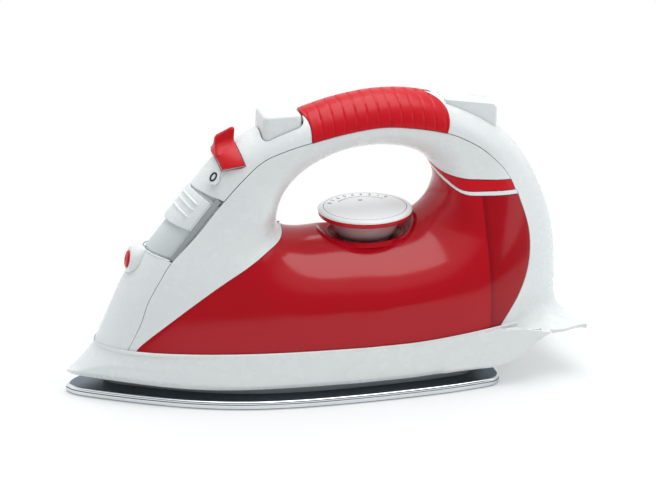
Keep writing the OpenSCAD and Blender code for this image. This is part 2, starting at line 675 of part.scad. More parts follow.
// Spray nozzle: a bulge of the nose that runs up to the channel, with a red insert
nozzle_shares = [-0.3785, 0.336];
nozzle_tilt = -77;
nozzle_d = 10.8;
nozzle_face_d = 8.6;
nozzle_edge = 0.9;
nozzle_back = 4;
nozzle_bore_d = 2;
nozzle_bore_l = 11;
nozzle_sides = 28;
hump_sides = 24;
hump_shares = [-0.3295, 0.378];
hump_r = 4.2;
tip_d = 5.6;
tip_seat = 2;
tip_h = 0.7;
tip_top_d = 3.6;
tip_bore_d = 1;
module at_nozzle(z = 0) {
    translate(place(nozzle_shares)) rotate([0, nozzle_tilt, 0]) translate([0, 0, z]) children();
}
module nozzle_bulge(gap) {
    difference() {
        hull() {
            at_nozzle(-nozzle_back - gap)
                cylinder(d = nozzle_d + 2 * gap, h = nozzle_back - nozzle_edge, $fn = nozzle_sides);
            at_nozzle(-nozzle_edge) cylinder(d1 = nozzle_d + 2 * gap, d2 = nozzle_face_d + 2 * gap,
                h = nozzle_edge, $fn = nozzle_sides);
            translate(place(hump_shares)) sphere(hump_r + gap, $fn = hump_sides);
        }
        at_slide(gap - track_l - seat_gap) cylinder(r = 2 * slide_r, h = track_l);
    }
}
module spray_nozzle() {
    color(white)
    difference() {
        nozzle_bulge(0);
        at_nozzle(-tip_seat) cylinder(d = tip_d + 2 * seat_gap, h = tip_seat + over);
        at_nozzle(-nozzle_bore_l) cylinder(d = nozzle_bore_d, h = nozzle_bore_l);
    }
}
module nozzle_tip() {
    color(red)
    at_nozzle(part_gap - tip_seat)
    difference() {
        union() {
            cylinder(d = tip_d, h = tip_seat);
            translate([0, 0, tip_seat]) cylinder(d1 = tip_d, d2 = tip_top_d, h = tip_h);
        }
        translate([0, 0, -over]) cylinder(d = tip_bore_d, h = tip_seat + tip_h + 2 * over);
    }
}

// Filler slide in its track on the slope of the nose
slide_tilt = 39.5;
track_shares = [-0.1885, 0.5947];
slide_t = 1.2;
slide_a = 62;
slide_stop = 0.5;
slide_travel = 13.5;
track_out = slide_r - slide_t - seat_gap;
track_t = 1.8;
track_a = 86;
toe_a = 54;
toe_l = 4.4;
toe_drop = 0.8;
rail_out_a = 75;
rail_l = 29.6;
rail_a = 65;
rail_drop = 0.3;
ridge_count = 3;
ridge_pitch = 2.7;
ridge_w = 1;
ridge_h = 0.6;
ridge_a = 50;
ridge_end = 3.6;
lip_a = 66;
lip_t = 0.35;
groove_a = 67.5;
hole_d = 7;
hole_down = 7.5;
filler_d = 9;
filler_wall = 0.9;
filler_low_share = 0.155;
module at_slide(z = 0) {
    translate(place(track_shares)) rotate([0, slide_tilt, 0]) translate([0, 0, z]) children();
}
module slide_track() {
    track_in = track_out - track_t;
    color(grey)
    at_slide(-track_l)
    difference() {
        union() {
            linear_extrude(track_l) arc_2d(track_in, track_out - toe_drop, toe_a);
            translate([0, 0, toe_l]) linear_extrude(track_l - toe_l) arc_2d(track_in, track_out, track_a);
            for (s = [-1, 1]) translate([0, 0, track_l - rail_l])
                linear_extrude(rail_l) arc_2d(track_in, slide_r - rail_drop, s * rail_out_a, s * rail_a);
        }
        translate([0, 0, track_l - hole_down]) rotate([0, -90, 0]) cylinder(d = hole_d, h = slide_r);
        translate([0, 0, -over]) linear_extrude(track_l + 2 * over)
            arc_2d(track_out, slide_r - slide_t + lip_t + seat_gap, groove_a);
    }
}
module filler_slide() {
    slide_in = slide_r - slide_t;
    color(white)
    at_slide(-slide_stop - slide_l) {
        linear_extrude(slide_l) arc_2d(slide_in, slide_r, slide_a);
        linear_extrude(slide_l) arc_2d(slide_in, slide_in + lip_t, lip_a);
        for (i = [0:ridge_count - 1]) translate([0, 0, slide_l - ridge_end - i * ridge_pitch])
            linear_extrude(ridge_w) arc_2d(slide_in, slide_r + ridge_h, ridge_a);
    }
}
hole_r = track_out - track_t / 2;
hole_x = place(track_shares)[0] - hole_down * sin(slide_tilt) - hole_r * cos(slide_tilt);
module filler_tube() {
    low = seam_z + filler_low_share * house_h;
    tall = place(track_shares)[2] - low + filler_d;
    color(grey)
    difference() {
        translate([hole_x, 0, low]) cylinder(d = filler_d, h = tall);
        translate([hole_x, 0, low - over]) cylinder(d = filler_d - 2 * filler_wall, h = tall + 2 * over);
        at_slide(-track_l) linear_extrude(track_l + filler_d)
            arc_2d(track_out - track_t - seat_gap, 2 * slide_r, track_a);
    }
}

// Wall between the nose and the tank, along the edge of the casing
front_edge = [tank_front_share * iron_l, seam_z];
front_way = around(opening, open_start) - front_edge;
front_slope = atan2(front_way[1], front_way[0]);
front_low = 6.8;
front_top = 4;
front_wall_t = 1.4;
front_steps = 16;
module tank_wall_front() {
    e = front_way / norm(front_way);
    deep = part_gap + seat_gap + front_wall_t;
    xs = span(front_low, norm(front_way) - front_top, front_steps);
    ys = [for (s = xs) min([for (d = [deep, deep - front_wall_t])
        in_half(front_edge + s * e + d * [e[1], -e[0]])])];
    color(tank_red)
    difference() {
        translate([front_edge[0], 0, front_edge[1]]) rotate([0, -front_slope, 0]) translate([0, 0, -deep])
            linear_extrude(front_wall_t)
            polygon(concat([for (i = [0:front_steps]) [xs[i], ys[i]]],
                [for (i = [front_steps:-1:0]) [xs[i], -ys[i]]]));
        translate([hole_x, 0, 0]) cylinder(d = filler_d + 2 * seat_gap, h = iron_h);
        rod(suction_way[3], suction_way[4], pipe_d / 2 + 2 * move_gap);
    }
}

// Steam lever: a band across the neck on an axle, with a thumb fin
lever_tilt = 72;
lever_shares = [-0.165, 0.6736];
band_t = 1.35;
band_a_deg = 56;
notch_l = band_l + 2 * move_gap;
notch_r = 16;
notch_spare = 1.5;
notch_a = band_a_deg + lever_swing + notch_spare;
cradle_t = 1.6;
cradle_out = band_r - band_t - move_gap;
cradle_a = band_a_deg + lever_swing;
ear_a = 64;
ear_t = 1.5;
boss_d = 7.4;
axle_d = 3;
arm_w = 2.6;
arm_l = 4;
arm_slot_a = 26;
fin_t = 3;
fin_root = 4.6;
fin_root_h = 3;
fin_side = [[-3.6, 11.9], [-2.9, 16.6], [-2.3, 17.8], [-1.2, 18.2], [4, 18.8], [5, 18.5], [5.4, 17.6],
    [4.8, 13.4], [4.2, 11.9]];
fin_round = 0.7;
fin_steps = 5;
module at_lever(z = 0) {
    translate(place(lever_shares)) rotate([0, lever_tilt, 0]) translate([0, 0, z]) children();
}
module lever_cradle() {
    l = notch_l - 2 * seat_gap;
    cradle_in = cradle_out - cradle_t;
    color(white)
    at_lever(-l / 2)
    difference() {
        union() {
            linear_extrude(l) arc_2d(cradle_in, cradle_out, cradle_a);
            for (z = [0, l - ear_t]) translate([0, 0, z]) {
                linear_extrude(ear_t) arc_2d(axle_d / 2, cradle_in + cradle_t / 2, ear_a);
                cylinder(d = boss_d, h = ear_t);
            }
        }
        translate([0, 0, -over]) cylinder(d = axle_d + 2 * shaft_gap, h = l + 2 * over);
        translate([0, 0, (l - arm_l) / 2 - move_gap]) linear_extrude(arm_l + 2 * move_gap)
            arc_2d(boss_d / 2, notch_r, arm_slot_a);
    }
}
module lever_axle() {
    l = notch_l - 2 * seat_gap;
    color(steel) at_lever(-l / 2) cylinder(d = axle_d, h = l);
}
module fin_2d() {
    top = max([for (p = fin_side) p[1]]);
    side = concat([[fin_root, band_r - band_t / 2]],
        [for (t = span(0, 1, fin_steps))
            [mix(fin_root, fin_t / 2, 1 - (1 - t) * (1 - t)), band_r + t * fin_root_h]],
        [[fin_t / 2, top - fin_round], [fin_t / 2 - fin_round, top]]);
    polygon(concat(side, [for (p = back(side)) [-p[0], p[1]]]));
}
module steam_lever() {
    hub_l = notch_l - 2 * seat_gap - 2 * ear_t - 2 * move_gap;
    color(red)
    at_lever()
    difference() {
        union() {
            translate([0, 0, -hub_l / 2]) cylinder(d = boss_d, h = hub_l);
            translate([-band_r + band_t / 2, -arm_w / 2, -arm_l / 2])
                cube([band_r - band_t / 2, arm_w, arm_l]);
            translate([0, 0, -band_l / 2]) linear_extrude(band_l) arc_2d(band_r - band_t, band_r, band_a_deg);
            intersection() {
                rotate([0, -90, 0]) rotate([90, 0, 0]) translate([0, 0, -fin_root])
                    linear_extrude(2 * fin_root) polygon(fin_side);
                rotate([0, 0, 90]) translate([0, 0, -band_l]) linear_extrude(2 * band_l) fin_2d();
                translate([0, 0, -band_l]) difference() {
                    cylinder(r = 2 * band_r, h = 2 * band_l);
                    cylinder(r = band_r - band_t, h = 2 * band_l);
                }
            }
        }
        translate([0, 0, -band_l]) cylinder(d = axle_d + 2 * shaft_gap, h = 2 * band_l);
    }
}

// Oval pad with the sign for no steam, let into the side of the neck
pad_shares = [-0.2115, 0.7087];
pad_side = -9;
pad_size = [4, 5.6];
pad_turn = [66, 0, -42];
pad_depth = 0.9;
pad_rise = 0.5;
module at_pad(z = 0) {
    translate(place(pad_shares) + [0, pad_side, 0]) rotate(pad_turn) translate([0, 0, z]) children();
}
module pad_2d(gap) {
    d = pad_size[0] + 2 * gap;
    for (s = [-1, 1]) translate([0, s * (pad_size[1] - pad_size[0]) / 2]) circle(d = d);
    square([d, pad_size[1] - pad_size[0]], center = true);
}
module scale_pad() {
    color(white) at_pad(-pad_depth + part_gap) linear_extrude(pad_depth - part_gap + pad_rise) pad_2d(0);
}

// Spray button in the neck, with the pump below it
button_x_share = -0.078;
button_x = button_x_share * iron_l;
button_top_share = 0.943;
button_top_z = seam_z + button_top_share * house_h;
button_r = 1.6;
button_edge = 0.6;
button_wall = 1.4;
button_h = 13.4;
button_low_z = button_top_z - button_h;
button_lean = 0.4;
button_base_h = 1.2;
module button_2d(gap) {
    rounded_2d(button_x - button_l / 2 - gap, button_x + button_l / 2 + gap, button_w / 2 + gap, button_r);
}
module spray_button() {
    color(white)
    difference() {
        hull() {
            translate([0, 0, button_low_z]) linear_extrude(button_base_h) button_2d(0);
            translate([0, 0, button_top_z - button_edge - part_gap])
                linear_extrude(part_gap) button_2d(-button_lean);
            translate([0, 0, button_top_z - part_gap])
                linear_extrude(part_gap) button_2d(-button_lean - button_edge);
        }
        translate([0, 0, button_low_z - over]) linear_extrude(button_h - button_wall + over)
            button_2d(-button_wall - button_lean);
    }
}
pump_x_share = -0.0865;
pump_x = pump_x_share * iron_l;
pump_d = 7.6;
pump_bore_d = 5.2;
pump_floor = 1.4;
pump_h = 10;
pump_low_share = 0.664;
pump_z = seam_z + pump_low_share * house_h;
pump_plate_t = 1.4;
pump_plate_drop = 4.6;
pump_plate_front = 7;
pump_plate_rear = 4;
pump_rest = 1.1;
plunger_d = 3.6;
piston_h = 2;
plunger_collar_d = 8;
plunger_collar_t = 1.2;
spring_h = 7.6;
spring_d = 6.6;
spring_wire = 0.7;
spring_turns = 4;
pump_top = pump_z + pump_h;
module pump_plunger() {
    low = pump_z + pump_floor + button_travel + pump_rest;
    color(grey)
    translate([pump_x, 0, 0]) {
        translate([0, 0, low]) cylinder(d = plunger_d, h = button_top_z - button_wall - part_gap - low);
        translate([0, 0, low]) cylinder(d = pump_bore_d - 2 * shaft_gap, h = piston_h);
        translate([0, 0, pump_top + spring_h]) cylinder(d = plunger_collar_d, h = plunger_collar_t);
    }
}
module pump_cylinder() {
    z = pump_top - pump_plate_drop;
    xs = [pump_x - pump_plate_front, pump_x, pump_x + pump_plate_rear];
    ys = [for (x = xs) half_w([x, z]) - wall - seat_gap];
    color(grey)
    difference() {
        union() {
            translate([pump_x, 0, pump_z]) cylinder(d = pump_d, h = pump_h);
            translate([0, 0, z]) linear_extrude(pump_plate_t)
                polygon(concat([for (i = [0:2]) [xs[i], ys[i]]], [for (i = [2:-1:0]) [xs[i], -ys[i]]]));
        }
        translate([pump_x, 0, pump_z + pump_floor]) cylinder(d = pump_bore_d, h = pump_h);
        rod(suction_way[0], suction_way[1], pipe_d / 2 + part_gap);
        rod(spray_way[0], spray_way[1], pipe_d / 2 + part_gap);
    }
}
module return_spring() {
    n = 14;
    m = 6;
    r = spring_d / 2 - spring_wire / 2;
    low = pump_top + part_gap + spring_wire / 2;
    rise = spring_h - 2 * part_gap - spring_wire;
    color(steel)
    translate([pump_x, 0, 0])
    rings([for (i = [0:n * spring_turns]) let (a = 360 * i / n)
        [for (j = [0:m - 1]) let (b = 360 * j / m, q = r + spring_wire / 2 * sin(b))
            [q * cos(a), q * sin(a), low + rise * i / (n * spring_turns) + spring_wire / 2 * cos(b)]]]);
}

// Thin pipes: one draws from the tank, one leads to the nozzle
pipe_d = 2.6;
pipe_bore_d = 1.4;
suction_shares = [[-0.0865, 0.68], [-0.103, 0.63], [-0.124, 0.555], [-0.127, 0.43], [-0.135, 0.31],
    [-0.1, 0.03]];
spray_shares = [[-0.1, 0.69], [-0.15, 0.585], [-0.21, 0.52], [-0.285, 0.385], [-0.33, 0.297]];
spray_side = [-2.4, -6.6, -6.6, -6.6, 0];
suction_way = [for (q = suction_shares) place(q)];
spray_way = [for (i = [0:len(spray_shares) - 1]) place(spray_shares[i]) + [0, spray_side[i], 0]];
hose_steps = 12;
hose_sides = 10;
module rod(p, q, r) {
    d = q - p;
    translate(p) rotate([0, acos(d[2] / norm(d)), atan2(d[1], d[0])]) cylinder(r = r, h = norm(d));
}
// Hose along a smooth way, open at both ends
module hose(way) {
    n = hose_steps;
    m = hose_sides;
    c = (n + 1) * m;
    mid = steps(way, 0, len(way) - 1, n);
    faces = concat(
        [for (i = [0:n - 1], j = [0:m - 1]) let (k = (j + 1) % m) each
            [[i * m + j, (i + 1) * m + j, i * m + k], [i * m + k, (i + 1) * m + j, (i + 1) * m + k],
            [c + i * m + j, c + i * m + k, c + (i + 1) * m + j],
            [c + i * m + k, c + (i + 1) * m + k, c + (i + 1) * m + j]]],
        [for (j = [0:m - 1]) let (k = (j + 1) % m, e = n * m) each
            [[j, k, c + k], [j, c + k, c + j], [e + k, e + j, c + e + j], [e + k, c + e + j, c + e + k]]]);
    polyhedron([for (d = [pipe_d, pipe_bore_d], i = [0:n])
        let (go = unit(mid[min(i + 1, n)] - mid[max(i - 1, 0)]), u = unit(cross(go, [0, 1, 0])),
            v = cross(go, u)) each
        [for (j = [0:m - 1]) let (a = 360 * j / m) mid[i] + d / 2 * (cos(a) * u + sin(a) * v)]], faces,
        convexity = 6);
}
module suction_tube() {
    color(grey) hose(suction_way);
}
module spray_tube() {
    color(grey) hose(spray_way);
}

// Dial on top of the tank
dial_edge = 0.8;
dial_low_z = dial_z - dial_t;
ring_d = 35;
cup_z = dial_low_z - ring_t;
cup_wall = 1.4;
foot_z = seat_z + seat_gap;
cup_h = cup_z - part_gap - foot_z;
cup_knee_share = 0.45;
stem_z_share = 0.26;
stem_z = seam_z + stem_z_share * house_h;
collar_d = 21;
collar_t = 1.8;
collar_drop = 0.6;
collar_z = seat_z - collar_drop;
collar_boss_d = 11;
collar_boss_h = 4;
ratchet_d = 15;
ratchet_root_d = 12.6;
ratchet_teeth = 12;
ratchet_t = 2.2;
clip_w = 3;
clip_t = 0.8;
clip_l = 15;
clip_post = 3;
clip_nose_d = 1.2;
module dial_face() {
    color(white)
    translate([dial_x, 0, 0]) {
        translate([0, 0, dial_low_z]) rotate_extrude() polygon([[0, 0], [dial_d / 2 - dial_edge / 2, 0],
            [dial_d / 2, dial_edge], [dial_d / 2, dial_t - dial_edge],
            [dial_d / 2 - dial_edge, dial_t], [0, dial_t]]);
        translate([0, 0, stem_z]) cylinder(d = stem_d, h = dial_low_z - stem_z + dial_edge);
    }
}
module dial_ring() {
    color(red)
    translate([dial_x, 0, cup_z])
    difference() {
        cylinder(d = ring_d, h = ring_t - part_gap);
        translate([0, 0, -over]) cylinder(d = stem_d + 2 * part_gap, h = ring_t + 2 * over);
    }
}
module dial_cup() {
    h = cup_h;
    knee = h * cup_knee_share;
    color(tank_red)
    translate([dial_x, 0, foot_z])
    rotate_extrude()
    polygon([[stem_d / 2 + part_gap, 0], [cup_foot_d / 2, 0], [cup_foot_d / 2, knee],
        [cup_d / 2, h], [cup_d / 2 - cup_wall, h], [cup_foot_d / 2 - cup_wall, knee + cup_wall],
        [cup_foot_d / 2 - cup_wall, cup_wall], [stem_d / 2 + part_gap, cup_wall]]);
}
module dial_collar() {
    color(grey)
    translate([dial_x, 0, 0])
    difference() {
        union() {
            translate([0, 0, collar_z - collar_t]) cylinder(d = collar_d, h = collar_t);
            translate([0, 0, collar_z - collar_t - collar_boss_h])
                cylinder(d = collar_boss_d, h = collar_boss_h + over);
        }
        translate([0, 0, stem_z]) cylinder(d = stem_d + 2 * shaft_gap, h = iron_h);
    }
}
module dial_ratchet() {
    n = 2 * ratchet_teeth;
    color(grey)
    translate([dial_x, 0, stem_z])
    difference() {
        linear_extrude(ratchet_t) polygon([for (i = [0:n - 1]) let (a = 360 * i / n)
            (i % 2 == 0 ? ratchet_d : ratchet_root_d) / 2 * [cos(a), sin(a)]]);
        translate([0, 0, -over]) cylinder(d = stem_d + 2 * part_gap, h = ratchet_t + 2 * over);
    }
}
module click_spring() {
    y = ratchet_d / 2 + move_gap + clip_nose_d;
    top = collar_z - collar_t - seat_gap;
    color(steel)
    translate([dial_x, y, stem_z]) {
        translate([-clip_l / 2, 0, 0]) cube([clip_l, clip_t, ratchet_t]);
        translate([0, clip_t - clip_nose_d, 0]) cylinder(d = clip_nose_d, h = ratchet_t);
        translate([-clip_l / 2, 0, 0]) cube([clip_post, clip_t, top - stem_z]);
        translate([-clip_l / 2, -clip_w, top - clip_t - stem_z]) cube([clip_post, clip_w + clip_t, clip_t]);
    }
}

sole_plate();
base_plate();
skirt();
tank_shell();
tank_floor();
tank_wall_rear();
tank_wall_front();
casing_left();
casing_right();
nose_cover();
neck_cover();
rear_cover();
heel_plate();
grip();
pillar_band();
pillar_trim();
cord_outlet();
spray_nozzle();
nozzle_tip();
slide_track();
filler_slide();
filler_tube();
lever_cradle();
lever_axle();
steam_lever();
scale_pad();
spray_button();
pump_plunger();
pump_cylinder();
return_spring();
suction_tube();
spray_tube();
dial_face();
dial_ring();
dial_cup();
dial_ratchet();
dial_collar();
click_spring();
base_screws();
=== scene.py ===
"""Toy steam iron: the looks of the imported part.

Lengths are in millimetres until they reach a mesh.
"""
import json
import math

import bmesh
import bpy
import numpy as np
from mathutils import Matrix, Vector

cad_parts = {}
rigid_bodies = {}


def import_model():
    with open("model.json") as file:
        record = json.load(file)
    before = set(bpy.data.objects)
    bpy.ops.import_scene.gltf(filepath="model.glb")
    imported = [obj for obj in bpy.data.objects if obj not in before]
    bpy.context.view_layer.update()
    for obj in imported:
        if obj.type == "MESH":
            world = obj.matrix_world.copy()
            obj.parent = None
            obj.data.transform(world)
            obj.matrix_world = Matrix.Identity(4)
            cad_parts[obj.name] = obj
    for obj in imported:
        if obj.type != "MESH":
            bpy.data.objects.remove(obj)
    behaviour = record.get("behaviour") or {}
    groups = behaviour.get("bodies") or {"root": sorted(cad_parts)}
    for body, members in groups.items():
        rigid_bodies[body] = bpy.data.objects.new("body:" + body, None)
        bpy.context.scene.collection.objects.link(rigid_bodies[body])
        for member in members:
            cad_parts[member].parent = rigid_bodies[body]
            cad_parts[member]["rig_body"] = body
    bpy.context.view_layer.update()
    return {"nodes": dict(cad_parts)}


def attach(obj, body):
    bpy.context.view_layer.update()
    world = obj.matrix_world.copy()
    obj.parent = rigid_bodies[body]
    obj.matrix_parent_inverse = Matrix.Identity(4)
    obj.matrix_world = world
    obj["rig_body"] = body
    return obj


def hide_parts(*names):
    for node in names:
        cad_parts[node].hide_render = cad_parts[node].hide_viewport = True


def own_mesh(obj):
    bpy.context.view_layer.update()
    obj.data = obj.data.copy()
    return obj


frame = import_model()
nodes = frame["nodes"]
MM = 0.001

# Sizes of the part
IRON_L, IRON_H, SOLE_W = 200.0, 110.8, 76.4
SOLE_T, SOLE_ROUND, SOLE_GAP = 3.2, 0.8, 2.3
SKIRT_H, SKIRT_W = 14.0, 71.6
SEAM_RISE, BODY_W, NECK_W = 2.6, 66.6, 25.4
WALL, TANK_WALL, PART_GAP = 1.8, 1.6, 0.14
RIB_COUNT, RIB_H, RIB_LEAN = 12, 0.4, 0.8
SKIRT_Z = SOLE_T + SOLE_GAP
SEAM_Z = SKIRT_Z + SKIRT_H
HOUSE_H = IRON_H - SEAM_Z
OVER = 1.0
MOVE_GAP, SEAT_GAP = 0.35, 0.25

CROWN_SHARES = [[-0.439, 0], [-0.413, 0.125], [-0.384, 0.261], [-0.346, 0.395], [-0.3, 0.52],
                [-0.249, 0.645], [-0.2, 0.763], [-0.138, 0.853], [-0.06, 0.92], [0.03, 0.977], [0.118, 1],
                [0.2, 0.982], [0.278, 0.92], [0.345, 0.828], [0.4, 0.694], [0.442, 0.525], [0.465, 0.353],
                [0.471, 0.179], [0.472, 0]]
OPENING_SHARES = [[-0.0765, 0.447], [-0.0865, 0.497], [-0.0775, 0.582], [-0.048, 0.66],
                  [-0.01, 0.715], [0.045, 0.76], [0.11, 0.772], [0.165, 0.752], [0.202, 0.712],
                  [0.222, 0.65], [0.228, 0.576], [0.213, 0.505], [0.178, 0.451], [0.113, 0.428],
                  [0.033, 0.428], [-0.038, 0.423]]
EDGE_SHARES = [[-0.375, 0], [-0.3603, 0.038], [-0.3146, 0.1238], [-0.2682, 0.2036], [-0.2211, 0.2762],
               [-0.1733, 0.3404], [-0.126, 0.3947], [-0.0909, 0.424], [-0.0765, 0.447]]
SEAM_SHARES = [[-0.388, 0], [-0.362, 0.113], [-0.345, 0.208], [-0.321, 0.297], [-0.298, 0.37],
               [-0.25, 0.478], [-0.2, 0.605], [-0.157, 0.703], [-0.118, 0.771], [-0.07, 0.81],
               [-0.028, 0.833], [0.035, 0.861], [0.106, 0.878], [0.17, 0.864], [0.233, 0.833],
               [0.271, 0.797], [0.307, 0.748], [0.342, 0.675], [0.36, 0.617], [0.368, 0.575],
               [0.373, 0.555], [0.389, 0.43], [0.39, 0.334], [0.38, 0.238], [0.358, 0.13], [0.318, 0]]
BAND_TOP_SHARES = [[0.232, 0.653], [0.267, 0.635], [0.317, 0.624]]
BAND_LOW_SHARES = [[0.237, 0.624], [0.262, 0.589], [0.315, 0.58]]
TRIM_LOW_SHARES = [[0.238, 0.607], [0.265, 0.573], [0.314, 0.562]]
TANK_FRONT = -0.375
CROWN_NOSE, CROWN_NECK, CROWN_GRIP, CROWN_REAR, CROWN_FLARE = 3.05, 5.05, 8.15, 11, 17.25
SEAM_NOSE, SEAM_NECK, SEAM_GRIP, SEAM_REAR = 4, 6.07, 10, 14
SEAM_BAND, SEAM_TRIM, SEAM_TANK, SEAM_FLARE, SEAM_END = 18, 19, 20, 24, 25
OPEN_START, OPEN_BAND, OPEN_TRIM, OPEN_TANK = 16, 8.5, 8.85, 9.1
FRONT_ROUND, REAR_ROUND, HANDLE_ROUND, TANK_ROUND, ARCH_ROUND = 100, 55, 12, 24, 10
NARROW, ARCH, REAR = (0.12, 0.745), (0.4, 0.57), (0, 0.3)
FLAT_SLACK = 0.002
END_BLEND, EDGE_R = 7, 0.22
# Where the painted shade of the inner chamber begins on the tank.
SHADED_CHAMBER_X = 59.8


# Curves and the outer surface
def mix(a, b, t):
    return a + (b - a) * t


def ease(t, a, b):
    s = np.clip((t - a) / (b - a), 0, 1)
    return s * s * (3 - 2 * s)


def quarter(t):
    s = np.clip(t, 0, 1)
    return np.sqrt(s * (2 - s))


def knot(a, b, c, d, t):
    return 0.5 * (2 * b + (c - a) * t + (2 * a - 5 * b + 4 * c - d) * t * t
                  + (3 * b - a - 3 * c + d) * t * t * t)


def along(p, k):
    p = np.asarray(p, float)
    n = len(p) - 1
    i = min(max(int(math.floor(k)), 0), n - 1)
    first = p[i - 1] if i > 0 else 2 * p[0] - p[1]
    last = p[i + 2] if i < n - 1 else 2 * p[n] - p[n - 1]
    return knot(first, p[i], p[i + 1], last, k - i)


def around(p, k):
    n, i = len(p), int(math.floor(k))
    return knot(p[(i + n - 1) % n], p[i % n], p[(i + 1) % n], p[(i + 2) % n], k - i)


def steps(p, k0, k1, n, curve=along):
    return np.array([curve(p, mix(k0, k1, i / n)) for i in range(n + 1)])


def seam_lift(x):
    s = x / IRON_L
    return SEAM_RISE * ease(s, 0.12, 0.33) * (1 - ease(s, 0.345, 0.43))


def spots(shares):
    q = np.asarray(shares, float)
    x = q[:, 0] * IRON_L
    return np.stack([x, SEAM_Z + q[:, 1] * HOUSE_H + (1 - ease(q[:, 1], 0, 0.3)) * seam_lift(x)], 1)


crown, opening, seam = spots(CROWN_SHARES), spots(OPENING_SHARES), spots(SEAM_SHARES)
crown_path = steps(crown, 0, len(crown) - 1, 30 * (len(crown) - 1))
opening_path = steps(opening, 0, len(opening), 30 * len(opening), around)


def apart(p, path):
    """Distance of points p (..., 2) from a path."""
    a, b = path[:-1], path[1:]
    d = b - a
    t = np.clip(((p[..., None, :] - a) * d).sum(-1) / (d * d).sum(-1), 0, 1)
    return np.linalg.norm(p[..., None, :] - a - t[..., None] * d, axis=-1).min(-1)


def half_w(p):
    p = np.asarray(p, float)
    h, s = (p[..., 1] - SEAM_Z) / HOUSE_H, p[..., 0] / IRON_L
    outer = np.maximum(apart(p, crown_path) - FLAT_SLACK, 0)
    inner = np.maximum(apart(p, opening_path) - FLAT_SLACK, 0)
    up = ease(h, *NARROW)
    low_round = mix(FRONT_ROUND, REAR_ROUND, ease(s, *REAR))
    in_round = mix(TANK_ROUND, ARCH_ROUND, ease(h, *ARCH))
    return (mix(BODY_W, NECK_W, up) / 2 * quarter(outer / mix(low_round, HANDLE_ROUND, up))
            * quarter(inner / in_round))


def patch(a, b, left, right, v, blend=END_BLEND):
    """Grid of surface points between side lines a and b, with end lines left and right."""
    n = len(a) - 1
    u = (np.arange(n + 1) / n)[:, None, None]
    t = np.asarray(v)[None, :, None]
    p = mix(a[:, None, :], b[:, None, :], t)
    p = p + (left[None] - mix(a[0], b[0], t)) * (1 - u) ** blend
    p = p + (right[None] - mix(a[n], b[n], t)) * u ** blend
    return np.stack([p[..., 0], half_w(p), p[..., 1]], -1)


def straight(p, q, v):
    return np.array([mix(p, q, t) for t in v])


def bent(p, v):
    return np.array([along(p, t * (len(p) - 1)) for t in v])


def crowd(n):
    return [(j / n) ** 1.7 for j in range(n + 1)]


def crowd_end(n):
    return [1 - (1 - j / n) ** 1.7 for j in range(n + 1)]


def bow(t):
    """Bend of a line across the crown: nothing at its ends, most a third of the way down."""
    q = np.sqrt(t)
    return q * q / (q + 0.03) * (1 - q)


def grip_front(t):
    return CROWN_GRIP + 0.6 * bow(t)


def grip_rear(t):
    return CROWN_REAR + 1.6 * bow(t)


def crown_band(k0, k1, n, v):
    """Grid between two lines across the crown; k0 and k1 give their places along it at each share of v."""
    crown_keys = (CROWN_NECK, CROWN_GRIP, CROWN_REAR, CROWN_FLARE)
    seam_keys = (SEAM_NECK, SEAM_GRIP, SEAM_REAR, SEAM_FLARE)
    g = np.zeros((n + 1, len(v), 3))
    for j, t in enumerate(v):
        for i in range(n + 1):
            k = mix(k0(t), k1(t), i / n)
            p = mix(along(crown, k), along(seam, np.interp(k, crown_keys, seam_keys)), t)
            g[i, j] = p[0], half_w(p), p[1]
    return g


def arc(x, y, rx, ry, turn):
    """Points of an ellipse round (x, y) at the angles in turn."""
    return [(x + rx * math.cos(q), y + ry * math.sin(q)) for q in turn]


def circle(r, n=40):
    return arc(0, 0, r, r, [2 * math.pi * k / n for k in range(n)])


def bend(n):
    """Angles of a quarter turn, for rounded edges."""
    return np.linspace(0, math.pi / 2, n)


FLIP = np.array([1, -1, 1])


def closed_over(g):
    g = g.copy()
    g[:, 0, 1] = 0
    return np.concatenate([(g * FLIP)[:, :0:-1], g], 1)


def toward(d):
    size = np.linalg.norm(d, axis=-1, keepdims=True)
    return d * np.minimum(PART_GAP / np.maximum(size, 1e-9), 0.5)


def drawn(g, sides):
    """Draws the edges a, b, left and right of a grid in by the parting gap."""
    move = np.zeros_like(g)
    move[:, 0] += sides[0] * toward(g[:, 1] - g[:, 0])
    move[:, -1] += sides[1] * toward(g[:, -2] - g[:, -1])
    move[0] += sides[2] * toward(g[1] - g[0])
    move[-1] += sides[3] * toward(g[-2] - g[-1])
    return g + move


def capped(g):
    return closed_over(drawn(g, (False, True, True, True)))


def normals(g):
    di = np.concatenate([g[1:], g[-1:]]) - np.concatenate([g[:1], g[:-1]])
    before = np.where(np.abs(g[:, :1, 1:2]) < 2 * PART_GAP, g[:, 1:2] * FLIP, g[:, :1])
    after = np.where(np.abs(g[:, -1:, 1:2]) < 2 * PART_GAP, g[:, -2:-1] * FLIP, g[:, -1:])
    wide = np.concatenate([before, g, after], 1)
    n = np.cross(di, wide[:, 2:] - wide[:, :-2])
    return n / np.maximum(np.linalg.norm(n, axis=-1, keepdims=True), 1e-9)


# Meshes
def linked(name, data):
    obj = bpy.data.objects.new(name, data)
    bpy.context.scene.collection.objects.link(obj)
    return obj


def piece_from(bm, name):
    mesh = bpy.data.meshes.new(name)
    bm.to_mesh(mesh)
    bm.free()
    return linked(name, mesh)


def make(name, points, faces, weld=True):
    """Mesh object from points in millimetres; a welded one gets its faces turned outwards."""
    bm = bmesh.new()
    vs = [bm.verts.new(Vector(p) * MM) for p in points]
    for f in faces:
        bm.faces.new([vs[i] for i in f])
    if weld:
        bmesh.ops.remove_doubles(bm, verts=bm.verts, dist=1e-7)
        bmesh.ops.recalc_face_normals(bm, faces=bm.faces)
        if bm.calc_volume(signed=True) < 0:
            bmesh.ops.reverse_faces(bm, faces=bm.faces)
    return piece_from(bm, name)


